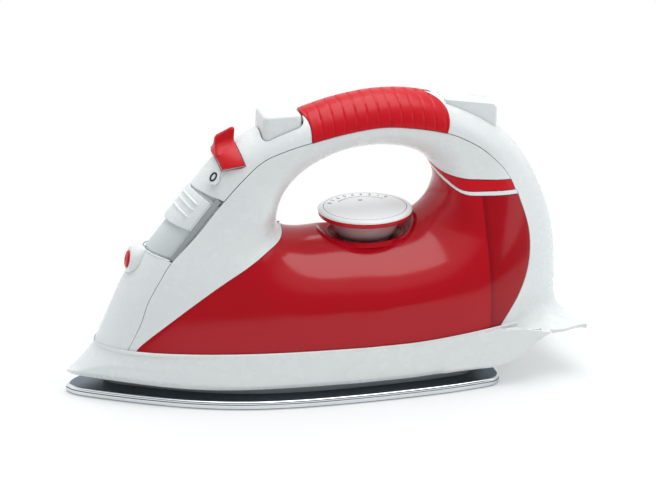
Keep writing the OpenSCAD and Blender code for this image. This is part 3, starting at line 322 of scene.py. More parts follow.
def shell(name, outer, wall, turn, lift=None):
    """Closed shell between a grid of outer points and the same grid drawn in by the wall."""
    nm = normals(outer)
    inner = outer - turn * wall * nm
    if lift is not None:
        outer = outer + turn * lift[..., None] * nm
    n, m = outer.shape[0] - 1, outer.shape[1] - 1
    w, c = m + 1, (n + 1) * (m + 1)
    faces = []
    for i in range(n):
        for j in range(m):
            k = i * w + j
            faces += [(k, k + 1, k + w + 1, k + w), (c + k, c + k + w, c + k + w + 1, c + k + 1)]
    for i in range(n):
        for k, flip in ((i * w, 1), (i * w + m, -1)):
            faces.append((k, k + w, c + k + w, c + k)[::flip])
    for j in range(m):
        for k, flip in ((j, 1), (n * w + j, -1)):
            faces.append((k, c + k, c + k + 1, k + 1)[::flip])
    return make(name, np.concatenate([outer.reshape(-1, 3), inner.reshape(-1, 3)]), faces)


def ring_stack(name, levels):
    """Solid or tray from closed rings of points, with flat ends."""
    m = len(levels[0])
    faces = [tuple(range(m)), tuple((len(levels) - 1) * m + j for j in reversed(range(m)))]
    for i in range(len(levels) - 1):
        for j in range(m):
            k = (j + 1) % m
            faces.append((i * m + j, (i + 1) * m + j, (i + 1) * m + k, i * m + k))
    return make(name, [p for row in levels for p in row], faces)


def prism(name, outline, z0, z1, where=Matrix.Identity(4)):
    """Extruded outline (x, y) between two levels, put in place by a matrix in millimetres."""
    n = len(outline)
    area = sum(outline[i - 1][0] * outline[i][1] - outline[i][0] * outline[i - 1][1] for i in range(n))
    outline = outline if area > 0 else outline[::-1]
    pts = [where @ Vector((x, y, z)) for z in (z0, z1) for x, y in outline]
    faces = [tuple(reversed(range(n))), tuple(range(n, 2 * n))]
    faces += [(i, (i + 1) % n, n + (i + 1) % n, n + i) for i in range(n)]
    return make(name, pts, faces, weld=False)


def lathe(name, profile, centre, sides=96):
    """Turned solid from (radius, height) points; the first and last lie on the axis or close the ring."""
    pts = [(x + centre[0], y + centre[1], z + centre[2]) for r, z in profile for x, y in circle(r, sides)]
    rows, faces = len(profile), []
    for i in range(rows if profile[0][0] > 0 else rows - 1):
        k = (i + 1) % rows
        for s in range(sides):
            t = (s + 1) % sides
            faces.append((i * sides + s, i * sides + t, k * sides + t, k * sides + s))
    return make(name, pts, faces)


def apply_modifiers(obj):
    dg = bpy.context.evaluated_depsgraph_get()
    mesh = bpy.data.meshes.new_from_object(obj.evaluated_get(dg))
    obj.modifiers.clear()
    old = obj.data
    obj.data = mesh
    bpy.data.meshes.remove(old)


def combine(obj, operation, others):
    for other in others:
        step = obj.modifiers.new("solid", "BOOLEAN")
        step.operation, step.solver, step.object = operation, "MANIFOLD", other
        apply_modifiers(obj)
        bpy.data.objects.remove(other)


def carve(obj, *cutters):
    """Cuts solids out of a piece, and throws the cutters away."""
    combine(obj, "DIFFERENCE", cutters)


def join(obj, *others):
    """Melts other solids into a piece."""
    combine(obj, "UNION", others)


def soften(obj, width, angle=38, segments=3):
    """Rounds the sharp edges of a piece and shades the rest smooth."""
    if width:
        bevel = obj.modifiers.new("edges", "BEVEL")
        bevel.width, bevel.segments = width * MM, segments
        bevel.limit_method, bevel.angle_limit = "ANGLE", math.radians(angle)
        bevel.use_clamp_overlap = True
        bevel.miter_outer = "MITER_ARC"
        apply_modifiers(obj)
    obj.data.shade_smooth()
    obj.data.set_sharp_from_angle(angle=math.radians(angle))


def from_cad(node, name, width, angle=30):
    """Copy of a CAD node's shape with joined faces and rounded edges."""
    bm = bmesh.new()
    bm.from_mesh(nodes[node].data)
    bmesh.ops.remove_doubles(bm, verts=bm.verts, dist=2e-6)
    bmesh.ops.dissolve_limit(bm, angle_limit=math.radians(1), verts=bm.verts, edges=bm.edges)
    bmesh.ops.recalc_face_normals(bm, faces=bm.faces)
    obj = piece_from(bm, name)
    soften(obj, width, angle)
    return obj


# Materials
def node_tree(name):
    mat = bpy.data.materials.new(name)
    mat.use_nodes = True
    tree = mat.node_tree
    return mat, tree, tree.nodes["Principled BSDF"]


def fill(tree, target, inputs):
    """Fills inputs by name or number; a socket is linked and anything else is a value."""
    for key, value in inputs.items():
        if isinstance(value, bpy.types.NodeSocket):
            tree.links.new(value, target.inputs[key])
        else:
            target.inputs[key].default_value = value


def add(tree, kind, inputs, **settings):
    """New shader node with its settings and inputs."""
    n = tree.nodes.new("ShaderNode" + kind)
    for key, value in settings.items():
        setattr(n, key, value)
    fill(tree, n, inputs)
    return n


def math_of(tree, operation, *values):
    return add(tree, "Math", dict(enumerate(values)), operation=operation).outputs[0]


def ramp(tree, source, low, high, a, b, **settings):
    values = {"Value": source, "From Min": low, "From Max": high, "To Min": a, "To Max": b}
    return add(tree, "MapRange", values, **settings).outputs[0]


def tint(tree, share, a, b, blend="MIX"):
    return add(tree, "Mix", {0: share, 6: a, 7: b}, data_type="RGBA", blend_type=blend).outputs[2]


def split(tree, place):
    """X, Y and Z of a place."""
    where = add(tree, "TexCoord", {}).outputs[place]
    return add(tree, "SeparateXYZ", {0: where}).outputs


def noise(tree, scale, detail=2.0, rough=0.5, stretch=(1, 1, 1)):
    where = add(tree, "TexCoord", {}).outputs["Object"]
    turn = add(tree, "Mapping", {"Vector": where, "Scale": stretch}).outputs[0]
    values = {"Vector": turn, "Scale": scale, "Detail": detail, "Roughness": rough}
    return add(tree, "TexNoise", values).outputs[0]


def bump(tree, height, strength, deep):
    return add(tree, "Bump", {"Height": height, "Strength": strength, "Distance": deep}).outputs[0]


def plastic(name, colour, rough, shift=0.03, grain=0.02, ior=1.5, edge=0.06):
    """Moulded plastic: a slow drift of colour, uneven gloss, fine grain and a faint orange peel."""
    mat, tree, shader = node_tree(name)
    drift = ramp(tree, noise(tree, 9, 1), 0.2, 0.8, 0, 1)
    dark = tuple(c * (1 - shift) for c in colour)
    light = tuple(min(1, c * (1 + shift * 0.6)) for c in colour)
    gloss = ramp(tree, noise(tree, 160, 4, 0.6), 0.35, 0.65, rough * (1 - edge), rough * (1 + edge) + 0.02)
    grains = math_of(tree, "MULTIPLY_ADD", noise(tree, 2600, 2), 0.25, noise(tree, 140, 1))
    fill(tree, shader, {"Base Color": tint(tree, drift, (*dark, 1), (*light, 1)), "Roughness": gloss,
                        "Normal": bump(tree, grains, grain, 0.0004), "IOR": ior})
    return mat


def clear_plastic(name, colour, rough, through):
    """Smooth plastic that lets some light through."""
    mat = plastic(name, colour, rough, 0.05, 0.004, 1.37)
    mat.node_tree.nodes["Principled BSDF"].inputs["Transmission Weight"].default_value = through
    return mat


def chamber(mat, x):
    """Darkens a clear wall behind x with painted shade: a dark line and a darker chamber stand in for the
    inner chamber's wall and its shade seen through it.
    """
    tree = mat.node_tree
    shader = tree.nodes["Principled BSDF"]
    far = ramp(tree, split(tree, "Object")["X"], (x - 1) * MM, (x + 7) * MM, 0, 1)
    shade = add(tree, "ValToRGB", {0: far})
    tones = shade.color_ramp.elements
    tones[0].position, tones[1].position = 0.08, 1.0
    tones[1].color = (0.84, 0.84, 0.84, 1)
    tones[0].color = (1, 1, 1, 1)
    for where, tone in ((0.13, 0.55), (0.22, 0.62), (0.4, 0.78)):
        tones.new(where).color = (tone, tone, tone, 1)
    colour = shader.inputs["Base Color"].links[0].from_socket
    fill(tree, shader, {"Base Color": tint(tree, 1, colour, shade.outputs[0], "MULTIPLY")})


def metal(name, colour, rough, stretch, streak=0.05, grain=0.04):
    """Polished or brushed metal with fine streaks along one direction."""
    mat, tree, shader = node_tree(name)
    drift = ramp(tree, noise(tree, 30, 2), 0.3, 0.7, 0, 1)
    dark = tuple(c * 0.93 for c in colour)
    lines = noise(tree, 900, 4, 0.6, stretch)
    fill(tree, shader, {"Base Color": tint(tree, drift, (*dark, 1), (*colour, 1)),
                        "Roughness": ramp(tree, lines, 0.3, 0.7, rough - streak, rough + streak),
                        "Normal": bump(tree, lines, grain, 0.0002), "Metallic": 1.0})
    return mat


WHITE = plastic("white_shell", (0.80, 0.825, 0.815), 0.26, 0.003, 0.003, edge=0.02)
RED = plastic("red_satin", (0.60, 0.006, 0.014), 0.3, 0.04, 0.02, 1.33)
TANK = clear_plastic("tank_clear_red", (0.60, 0.006, 0.016), 0.12, 0.25)
# Painted shade of the inner chamber behind the tank's rear wall.
chamber(TANK, SHADED_CHAMBER_X)
WELL = plastic("tank_well_red", (0.56, 0.006, 0.016), 0.3, 0.04, 0.004, 1.16)
INNER = clear_plastic("tank_inner_red", (0.36, 0.004, 0.012), 0.16, 0.25)
CUP = clear_plastic("dial_clear", (0.60, 0.42, 0.43), 0.14, 0.3)
GREY = plastic("grey_inner", (0.30, 0.32, 0.34), 0.35, 0.04, 0.04)
CHANNEL = plastic("channel_white", (0.66, 0.69, 0.685), 0.34, 0.02, 0.01)
RAIL = plastic("rail_grey", (0.36, 0.38, 0.39), 0.34, 0.03, 0.02)
# Whiter than the shell white: painted light that makes up for the handle's shadow on the dial's top.
DIAL_LIT_WHITE = plastic("dial_white_painted_light", (0.93, 0.94, 0.93), 0.3, 0.003, 0.003, edge=0.02)
SOLE = metal("sole_polished", (0.78, 0.80, 0.82), 0.12, (1, 14, 14), 0.015, 0.004)
# Dark slate metal for the sole: painted reflection of the dark gap on the upper face and groove, painted
# contact shadow on a band at the bottom.
SOLE_PAINTED_DARK = metal("sole_painted_reflection_shadow", (0.19, 0.225, 0.26), 0.36, (1, 30, 30), 0.06, 0.03)
STEEL = metal("steel_plain", (0.62, 0.62, 0.64), 0.22, (1, 1, 8))
INK = plastic("print_black", (0.012, 0.012, 0.014), 0.4, 0.1, 0.02)
PALE_INK = plastic("print_grey", (0.10, 0.105, 0.11), 0.45, 0.1, 0.02)


def dress(obj, mat, body="housing", replaces=()):
    obj.data.materials.clear()
    obj.data.materials.append(mat)
    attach(obj, body)
    if replaces:
        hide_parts(*replaces)
    return obj


BODY = {n: o["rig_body"] for n, o in nodes.items()}


# Outer pieces
def tank_lines(v):
    low = [around(opening, OPEN_TANK)]
    return bent(np.concatenate([low, spots(TRIM_LOW_SHARES), [along(seam, SEAM_TANK)]]), v)


def band_low_line():
    return np.concatenate([[around(opening, OPEN_TRIM)], spots(BAND_LOW_SHARES), [along(seam, SEAM_TRIM)]])


def band_top_line():
    return np.concatenate([[around(opening, OPEN_BAND)], spots(BAND_TOP_SHARES), [along(seam, SEAM_BAND)]])


def place(q):
    return Vector((q[0] * IRON_L, 0, SEAM_Z + q[1] * HOUSE_H))


def rounded_rect(x0, x1, half, r, n=6):
    pts = []
    corners = ((x1 - r, half - r), (x0 + r, half - r), (x0 + r, r - half), (x1 - r, r - half))
    for i, (x, y) in enumerate(corners):
        pts += arc(x, y, r, r, bend(n + 1) + i * math.pi / 2)
    return pts


def button_outline(gap):
    return rounded_rect(BUTTON_X - BUTTON_L - gap, BUTTON_X + BUTTON_L + gap, BUTTON_W + gap, BUTTON_ROUND)


def sector(r0, r1, a, n=24):
    """Outline of a ring sector round the -X direction, from -a to a degrees."""
    turn = np.radians(np.linspace(-a, a, n))
    return arc(0, 0, -r1, r1, turn) + arc(0, 0, -r0, r0, turn[::-1])


def turned(deg, axis):
    return Matrix.Rotation(math.radians(deg), 4, axis)


def at(shares, tilt):
    return Matrix.Translation(place(shares)) @ turned(tilt, "Y")


AT_SLIDE = at((-0.1885, 0.5947), 39.5)
AT_LEVER = at((-0.165, 0.6736), 72)
AT_NOZZLE = at((-0.3705, 0.35), -77)


def build_tank():
    v = [(j / 48) ** 2 for j in range(49)]
    a = steps(opening, OPEN_START, OPEN_TANK, 96, around)
    low = np.linspace(TANK_FRONT * IRON_L, seam[SEAM_END][0], 57)
    foot = np.stack([low, SEAM_Z + seam_lift(low)], 1)
    b = np.concatenate([foot, steps(seam, SEAM_END, SEAM_TANK, 40)[1:]])
    g = capped(patch(a, b, bent(spots(EDGE_SHARES)[::-1], v), tank_lines(v), v))
    off = np.hypot(g[..., 0] - DIAL_X, g[..., 1])
    g[..., 2] = mix(g[..., 2], np.minimum(g[..., 2], WELL_Z), 1 - ease(off, COLLAR_R + 0.3, COLLAR_R + 4))
    obj = shell("tank_glass", g, TANK_WALL, 1)
    carve(obj, lathe("cut", [(0, DIAL_SEAT), (COLLAR_R - 1, DIAL_SEAT), (COLLAR_R - 1, DIAL_Z), (0, DIAL_Z)],
                     (DIAL_X, 0, 0)))
    soften(obj, 0.35)
    dress(obj, TANK, "housing", ["tank_shell"])
    obj.data.materials.append(WELL)
    for f in obj.data.polygons:
        x, y, z = f.center / MM
        if z > WELL_Z - 1 and math.hypot(x - DIAL_X, y) < COLLAR_R + 3.2:
            f.material_index = 1
    lip = [(COLLAR_R + 1.3, WELL_Z - 1.2), (COLLAR_R + 0.6, WELL_Z - 0.3)]
    lip += arc(COLLAR_R - 0.2, WELL_Z + 0.05, 0.45, 0.3, np.linspace(0.1, math.pi, 8))
    lip += [(COLLAR_R - 1.2, WELL_Z - 0.8), (WELL_R + 0.3, DIAL_SEAT + 0.6), (WELL_R, DIAL_SEAT),
            (WELL_R, DIAL_SEAT - 0.8), (COLLAR_R - 1, WELL_Z - 3.2), (COLLAR_R, WELL_Z - 2)]
    collar = lathe("tank_collar", lip, (DIAL_X, 0, 0), 128)
    soften(collar, 0, 60)
    dress(collar, WELL, "housing")


CASE_KEYS = [[6.3, 0], [7, 1.2], [8, 2.5], [9, 3.3], [10, 4], [11, 4.85], [12, 5.95], [13, 7],
             [14, 7.75], [15, 8.1], [16, 8.25], [17, 8.4], [SEAM_BAND, OPEN_BAND]]


def build_casing():
    front, per = 48, 8
    v = crowd_end(30)
    shares = crowd_end(front)
    keys = np.array([along(CASE_KEYS, k) for k in np.linspace(0, 12, 12 * per + 1)])
    a = np.array([along(seam, t * CASE_KEYS[0][0]) for t in shares] + [along(seam, k[0]) for k in keys[1:]])
    b = np.concatenate([bent(spots(EDGE_SHARES), shares),
                        [around(opening, k[1]) for k in keys[1:]]])
    g = patch(a, b, straight(a[0], b[0], v), bent(band_top_line()[::-1], v), v)
    g[front:, -1, 1] = 0
    g = drawn(g, (True, True, True, True))
    left = shell("casing_half_left", g, WALL, 1)
    right = shell("casing_half_right", g * FLIP, WALL, -1)
    for obj, node in ((left, "casing_left"), (right, "casing_right")):
        soften(obj, EDGE_R)
        dress(obj, WHITE, replaces=[node])


HUMP_R, HUMP_AT = 4.2, (-0.3235, 0.386)
NOZZLE_SIDE = [(5.4, -4), (5.4, -0.9), (5.25, -0.45), (4.85, -0.1), (4.45, 0)]


def nozzle_body(gap=0.0):
    """Rounded hull of the nozzle's bulge."""
    pts = []
    for r, z in NOZZLE_SIDE:
        pts += [AT_NOZZLE @ Vector((x, y, z - gap * (z < -1))) for x, y in circle(r + gap, 48)]
    hump, r = place(HUMP_AT), HUMP_R + gap
    for t in np.linspace(0, math.pi, 17)[1:-1]:
        pts += [hump + Vector((x, y, r * math.cos(t))) for x, y in circle(r * math.sin(t), 32)]
    bm = bmesh.new()
    bmesh.ops.convex_hull(bm, input=[bm.verts.new(p * MM) for p in pts])
    bmesh.ops.delete(bm, geom=[x for x in bm.verts if not x.link_faces], context="VERTS")
    if bm.calc_volume(signed=True) < 0:
        bmesh.ops.reverse_faces(bm, faces=bm.faces)
    obj = piece_from(bm, "cut")
    carve(obj, prism("cut_b", circle(2 * SLIDE_R, 48), gap - 33 - SEAT_GAP, 0, AT_SLIDE))
    return obj


def build_covers():
    v = crowd(26)
    a, b = steps(crown, 0, CROWN_NOSE, 48), steps(seam, 0, SEAM_NOSE, 48)
    g = capped(patch(a, b, straight(a[0], b[0], v), straight(a[-1], b[-1], v), v))
    nose = shell("nose_hood", g, WALL, 1)
    carve(nose, nozzle_body(PART_GAP))
    soften(nose, EDGE_R)
    dress(nose, WHITE, replaces=["nose_cover"])

    neck = shell("neck_hood", capped(crown_band(lambda t: CROWN_NECK, grip_front, 56, v)), WALL, 1)
    half = BAND_HALF + MOVE_GAP
    notch = [(-half, 1.5), (-half, 16), (half, 16), (half, 1.5)]
    carve(neck,
          swept("cut", lambda deg: notch, NOTCH_A, AT_LEVER, skew=SKEW),
          prism("cut", button_outline(MOVE_GAP), BUTTON_TOP - BUTTON_H, IRON_H + SEAM_Z),
          prism("cut", pad_outline(SEAT_GAP), -0.9, 16, AT_PAD))
    soften(neck, EDGE_R)
    dress(neck, WHITE, replaces=["neck_cover"])


def pad_outline(gap):
    """Long round outline of the pad, 4 mm wide."""
    r, half, turn = 2 + gap, 0.8, np.linspace(0, math.pi, 33)
    return arc(0, half, r, r, turn) + arc(0, -half, r, r, turn + math.pi)


AT_PAD = Matrix.Translation((-42.3, -9, 84.2)) @ turned(-42, "Z") @ turned(66, "X")
BUTTON_X, BUTTON_TOP = -0.078 * IRON_L, SEAM_Z + 0.943 * HOUSE_H
BUTTON_L, BUTTON_W, BUTTON_H, BUTTON_ROUND = 7.8, 8.5, 13.4, 2.6
DIAL_X = 0.0905 * IRON_L
DIAL_Z, DIAL_R, FACE_T, RING_T, STEM_R = 64.8, 18.2, 1.4, 1.7, 3.5
CUP_Z = DIAL_Z - FACE_T - RING_T - 2 * PART_GAP
DIAL_SEAT = SEAM_Z + 0.358 * HOUSE_H
STEM_Z = SEAM_Z + 0.26 * HOUSE_H
CUP_R, CUP_FOOT = 13.1, 9
WELL_R, WELL_Z, COLLAR_R = CUP_FOOT + MOVE_GAP, 54.9, 15.2
PRINT_Z, LINE_R, NUMBER_R, DASH_R, SIGN_R = DIAL_Z + 0.01, 16, 13.9, 11.4, 7.6


def build_button():
    """Spray button: a hollow cap with rounded corners, a rounded top edge and three small pips."""
    low, top, lean, edge = BUTTON_TOP - BUTTON_H, BUTTON_TOP, 0.4, 1.5
    levels = [(-1.8, top - 1.4), (-1.8, low), (0, low), (0, low + 1.2)]
    levels += arc(-lean - edge, top - edge, edge, edge, bend(9))
    cap = ring_stack("button_cap", [[(x, y, z) for x, y in button_outline(gap)] for gap, z in levels])
    for k in (-1, 0, 1):
        pip = [(0, -0.3), (0.55, -0.3), (0.5, 0.08), (0.3, 0.2), (0, 0.24)]
        join(cap, lathe("pip", pip, (BUTTON_X + 0.6 + 1.9 * k, 3.2, top), 16))
    soften(cap, 0, 35)
    dress(cap, WHITE, "button", ["spray_button"])


def build_grip():
    g = capped(crown_band(grip_front, grip_rear, 16 * RIB_COUNT, crowd(24)))
    first, last = seam[SEAM_GRIP][0], seam[SEAM_REAR][0]
    across = 1 - np.abs(g[..., 1]) / np.abs(g[..., 1]).max()
    share = (g[..., 0] + RIB_LEAN * across - first) / (last - first) * RIB_COUNT
    obj = shell("grip_ribs", g, WALL, 1, RIB_H * (1 - np.abs(2 * (share % 1) - 1) ** 12))
    carve(obj, prism("cut", button_outline(MOVE_GAP), BUTTON_TOP - BUTTON_H, IRON_H + SEAM_Z))
    soften(obj, EDGE_R, 50)
    dress(obj, RED, "housing", ["grip"])


WING_SHARES = [[0.474, 0], [0.476, 0.2], [0.482, 0.45], [0.4885, 0.7], [0.4955, 0.88], [0.4963, 0.94],
               [0.491, 0.965], [0.45, 0.955], [0.39, 0.93]]
WING_HALF, WING_Z = 31, SEAM_Z + 0.2


def wing_at(q):
    """Point on the wings' outline; q runs from the middle plane (0) to the seam (1)."""
    k = 7 * q
    tip = along(WING_SHARES, min(k / 6, 1) * (len(WING_SHARES) - 1)) * [IRON_L, WING_HALF]
    if k > 6:
        end = np.array([seam[SEAM_END][0], half_w([seam[SEAM_END][0], SEAM_Z])])
        tip = mix(tip, end, k - 6)
    return tip


def wing_edge(x, y):
    """Height of the wings' lower edge, which dips behind the skirt's rim and rises to the tip."""
    drop = 1.5 * ease(x, 66, 72) + 0.5 * ease(x, 80, 85)
    return WING_Z - drop * ease(y, 16, 26) * (1 - ease(x, 88, 98))


def build_rear():
    q = np.linspace(0, 1, 29)
    v = q ** 1.7
    g = crown_band(grip_rear, lambda t: CROWN_FLARE, 72, v)
    side = np.array([[*wing_at(x), 0] for x in q])
    side[:, 2] = wing_edge(side[:, 0], side[:, 1])
    flare = []
    for k in range(1, 31):
        t = 1 - (1 - k / 30) ** 1.6
        s = t ** 5
        row = mix(g[-1], side, np.array([s, s, t]))
        end = along(seam, mix(SEAM_FLARE, SEAM_END, t))
        reach = np.array([end[0], half_w(end), end[1]]) - row[-1]
        flare.append(row + reach * (q ** 4)[:, None])
    g = drawn(closed_over(np.concatenate([g, flare])), (True, True, True, False))
    obj = shell("rear_hood", g, WALL, 1)
    carve(obj, outlet_solid("cut", SEAT_GAP))
    soften(obj, EDGE_R)
    dress(obj, WHITE, replaces=["rear_cover"])


OUTLET_HALF = 5.75
OUTLET_SIDE = [[0.2395, 0.84], [0.2395, 0.9557], [0.335, 0.922], [0.3425, 0.9], [0.343, 0.835], [0.32, 0.79]]


def outlet_solid(name, gap):
    side = [(place(q)[0], place(q)[2]) for q in OUTLET_SIDE]
    half = OUTLET_HALF + gap
    return prism(name, side, -half, half, turned(90, "X"))


def build_bands():
    v = crowd(24)
    for name, node, mat, slot, k0, k1, s0, s1, top, low in (
            ("band_red", "pillar_band", RED, "red_plastic", OPEN_BAND, OPEN_TRIM, SEAM_BAND, SEAM_TRIM,
             band_top_line(), band_low_line()),
            ("band_white", "pillar_trim", WHITE, "white_plastic", OPEN_TRIM, OPEN_TANK, SEAM_TRIM, SEAM_TANK,
             band_low_line(), None)):
        a, b = steps(opening, k0, k1, 10, around), steps(seam, s0, s1, 10)
        low = tank_lines(v) if low is None else bent(low, v)
        obj = shell(name, capped(patch(a, b, bent(top, v), low, v, 1)), WALL, -1)
        soften(obj, 0.2)
        dress(obj, mat, "housing", [node])


# Base
SOLE_SHARES = [[0, 0], [0.018, 0.123], [0.071, 0.283], [0.177, 0.547], [0.284, 0.762],
               [0.394, 0.906], [0.508, 0.976], [0.624, 1], [0.743, 1], [0.865, 0.976], [0.955, 0.93]]


STERN_R, FACE_INSET, GROOVE = 7, 1.3, 1.2


def sole_ring(inset, z):
    front, rear, half = -0.4975 * IRON_L + inset * 2, 0.32 * IRON_L - inset, SOLE_W / 2 - inset
    p = np.array([[mix(front, rear, q[0]), half * q[1]] for q in SOLE_SHARES])
    line = [along(p, (i / 88) ** 1.3 * (len(p) - 1)) for i in range(89)]
    line += arc(rear - STERN_R, p[-1][1] - STERN_R, STERN_R, STERN_R, np.radians(np.linspace(60, 0, 24)))
    ring = [(x, -y, z) for x, y in line]
    return ring + [(x, y, z) for x, y in reversed(line[1:])]


def build_sole():
    """Sole plate with a polished rounded rim and a fine groove along its side; its upper face, the groove and
    a band near the bottom get a dark brushed metal, which is painted reflection of the dark gap above on the
    face and groove, and painted contact shadow on the bottom band.
    """
    levels = arc(SOLE_ROUND, SOLE_ROUND, -SOLE_ROUND, -SOLE_ROUND, bend(7)[::-1])
    groove = SOLE_T - GROOVE
    levels += [(0, groove - 0.15), (0.22, groove), (0.1, groove + 0.2)]
    top = 0.75
    levels += arc(0.1 + top, SOLE_T - top, -top, top, bend(7))
    levels.append((FACE_INSET, SOLE_T))
    obj = ring_stack("sole_metal", [sole_ring(i, z) for i, z in levels])
    soften(obj, 0, 30)
    dress(obj, SOLE, "housing", ["sole_plate"])
    # Faces that get the dark metal: the upper face and the groove as painted reflection, the band near the
    # bottom as painted contact shadow.
    obj.data.materials.append(SOLE_PAINTED_DARK)
    for f in obj.data.polygons:
        z = f.center.z / MM
        if (f.normal.z > 0.98 and z > 0.9 * SOLE_T) or 0.1 < z < 0.45 or -0.18 < z - groove < 0.15:
            f.material_index = 1


LEVELS = [0.04, 0.17, 0.29, 0.46, 0.61, 0.78, 1]
NOSE = [-0.487, -0.496, -0.4805, -0.468, -0.458, -0.448, -0.4388]
STERN = [0.296, 0.316, 0.334, 0.359, 0.374, 0.391, 0.417]
WIDTHS = [0.975, 1, 0.998, 0.99, 0.982, 0.974, 0.965]
EDGE_IN = [3.3, 2.2, 1.2, 0.2, -1.2, -4, -9]
TIP, TOP, SMOOTH, BEAD_L = 1, len(LEVELS) - 1, 0.8, 0.795
skirt_plan = np.array([[x, y] for x, y, _ in sole_ring(0, 0) if y >= 0][::-1])
skirt_plan = skirt_plan[np.argsort(skirt_plan[:, 0], kind="stable")]


def sole_half(x):
    """Half width of the sole at x, running on beyond its rear end."""
    return np.interp(x, skirt_plan[:, 0], skirt_plan[:, 1], left=0) + np.where(x > 40, SOLE_W, 0)


def level_value(values, k):
    """Value at level k: straight from the bottom to the tip, smooth above it."""
    if k <= TIP:
        return mix(values[0], values[TIP], k / TIP)
    return along(values[TIP:], k - TIP)


def skirt_low(x):
    """Rise of the skirt's lower edge towards the nose and the stern."""
    return 0.5 + 0.7 * (1 - ease(x, -95, -55)) + 1.1 * ease(x, 25, 55)


def skirt_ring(k, inset, z, lift=0.0, low=0.0):
    """Ring of the skirt at level k, counted in the levels above, drawn in by inset."""
    front, rear = level_value(NOSE, k) * IRON_L, level_value(STERN, k) * IRON_L
    share, level, edge = level_value(WIDTHS, k), level_value(LEVELS, k), level_value(EDGE_IN, k)
    middle = 0.12 * IRON_L
    n = 120
    t = (np.arange(n + 1) / n) ** 1.6
    x = mix(front, rear, t)
    sx = np.where(x < middle, mix(crown[0][0], middle, (x - front) / (middle - front)), middle)
    s = half_w(np.stack([sx, np.full_like(sx, SEAM_Z)], 1)) / BODY_W * 2
    y = SKIRT_W / 2 * share * mix(s, s ** 0.92, 1 - level)
    y = -np.log(np.exp(-y / SMOOTH) + np.exp(-np.maximum(sole_half(x) - edge, 0.2) / SMOOTH)) * SMOOTH
    px = x + inset * mix(1.5, -1, t)
    i = np.arange(n + 1)
    py = np.where(i == 0, 0, np.maximum(y - inset, 0.12 + 0.05 * np.minimum(i, 6)))
    pz = z + lift * seam_lift(x) + low * skirt_low(x)
    ring = [(px[i], -py[i], pz[i]) for i in range(n + 1)]
    return ring + [(px[i], py[i], pz[i]) for i in range(n, 0, -1)]


def build_skirt():
    deck = SEAM_Z - 1.4
    out = []
    for k in np.concatenate([np.linspace(0, TIP, 5), np.linspace(TIP, TOP, 25)[1:]]):
        level = level_value(LEVELS, k)
        lift, low = max(0, (k - 3) / (TOP - 3)), max(0, 1 - k / 2.5)
        out.append(skirt_ring(k, 0, mix(SKIRT_Z, SEAM_Z, level), lift, low))
    middle = skirt_ring(3, 2, mix(SKIRT_Z, SEAM_Z, 0.46))
    rows = [skirt_ring(TOP, 3, deck - 2), middle, skirt_ring(0, 2, mix(SKIRT_Z, SEAM_Z, LEVELS[0]), 0, 1)]
    rows += out + [skirt_ring(TOP, 3, SEAM_Z, 1), skirt_ring(TOP, 3, deck)]
    obj = ring_stack("skirt_moulded", rows)
    soften(obj, 0.3, 35)
    dress(obj, WHITE, replaces=["skirt"])


def build_bead():
    """Raised edge of the skirt round the foot of the housing."""
    x = IRON_L * (NOSE[TOP] + BEAD_L * (np.arange(141) / 140) ** 1.7)
    base = np.stack([x, half_w(np.stack([x, SEAM_Z + seam_lift(x) + 0.2], 1))], 1)
    base[0] = [crown[0][0] - 0.05, 0]
    way = np.gradient(base, axis=0)
    out = np.stack([-way[:, 1], way[:, 0]], 1)
    out /= np.linalg.norm(out, axis=1, keepdims=True)
    out[0] = [-1, 0]
    room = np.minimum(0.04 * base[:, 1] + 0.16, 0.9)
    grid = []
    for share, z in ((0, -0.4), (0, 0.55), (0.2, 0.8), (0.55, 0.8), (0.85, 0.5), (1, -0.1), (1, -0.4)):
        off = base + out * (PART_GAP + share * room)[:, None]
        grid.append(np.stack([off[:, 0], np.maximum(off[:, 1], 0), SEAM_Z + seam_lift(x) + z], 1))
    full = closed_over(np.array(grid))
    n, w = full.shape[:2]
    faces = []
    for i in range(n):
        k = (i + 1) % n
        for j in range(w - 1):
            faces.append((i * w + j, i * w + j + 1, k * w + j + 1, k * w + j))
    faces += [tuple(i * w for i in range(n)), tuple(i * w + w - 1 for i in reversed(range(n)))]
    obj = make("skirt_bead", full.reshape(-1, 3), faces)
    soften(obj, 0, 50)
    dress(obj, WHITE)


# Controls
def swept(name, ring, a, where, b=None, n=48, skew=0.0):
    """Solid from a ring of (z, r) points, given for each angle, turned from -a (or b) to a degrees."""
    rows = []
    for deg in np.linspace(-a if b is None else b, a, n + 1):
        row = []
        for z, r in ring(deg):
            q = math.radians(deg * (1 + skew * z))
            row.append(where @ Vector((-r * math.cos(q), r * math.sin(q), z)))
        rows.append(row)
    return ring_stack(name, rows)


NOTCH_A, BAND_A, BAND_HALF, BAND_OUT, SKEW = 57.2, 56, 4.2, 13.7, 0.02
AXLE_R, HUB_R, HUB_HALF, EAR_T = 1.58, 3.7, 2.45, 1.5


def band_ring(deg):
    """Section of the lever's band; its front edge reaches forward near the thumb fin."""
    front = -BAND_HALF - 0.6 * (1 - ease(abs(deg), 6, 45))
    return [(front, 11.65), (front, 12.1), (front + 0.15, 12.6), (front + 0.6, 13.05), (-2.6, 13.5),
            (-0.8, BAND_OUT), (BAND_HALF - 0.4, BAND_OUT), (BAND_HALF - 0.1, BAND_OUT - 0.12),
            (BAND_HALF, BAND_OUT - 0.4), (BAND_HALF, 13.0), (2, 12.72), (0, 12.4), (-2, 12.03),
            (-BAND_HALF, 11.65)]


FIN_LEVELS = [(12.1, 6.0, -4.3, 4.1), (12.7, 5.0, -4.1, 4.1), (13.25, 3.9, -3.8, 4.2),
              (13.9, 2.95, -3.5, 4.4), (14.7, 2.3, -3.1, 4.8), (15.7, 1.9, -2.75, 5.4),
              (16.7, 1.65, -2.4, 6.0), (17.4, 1.5, -2.05, 6.2), (17.85, 1.25, -1.6, 6.0),
              (18.15, 0.8, -1.1, 5.5), (18.25, 0.3, -0.6, 5.0)]


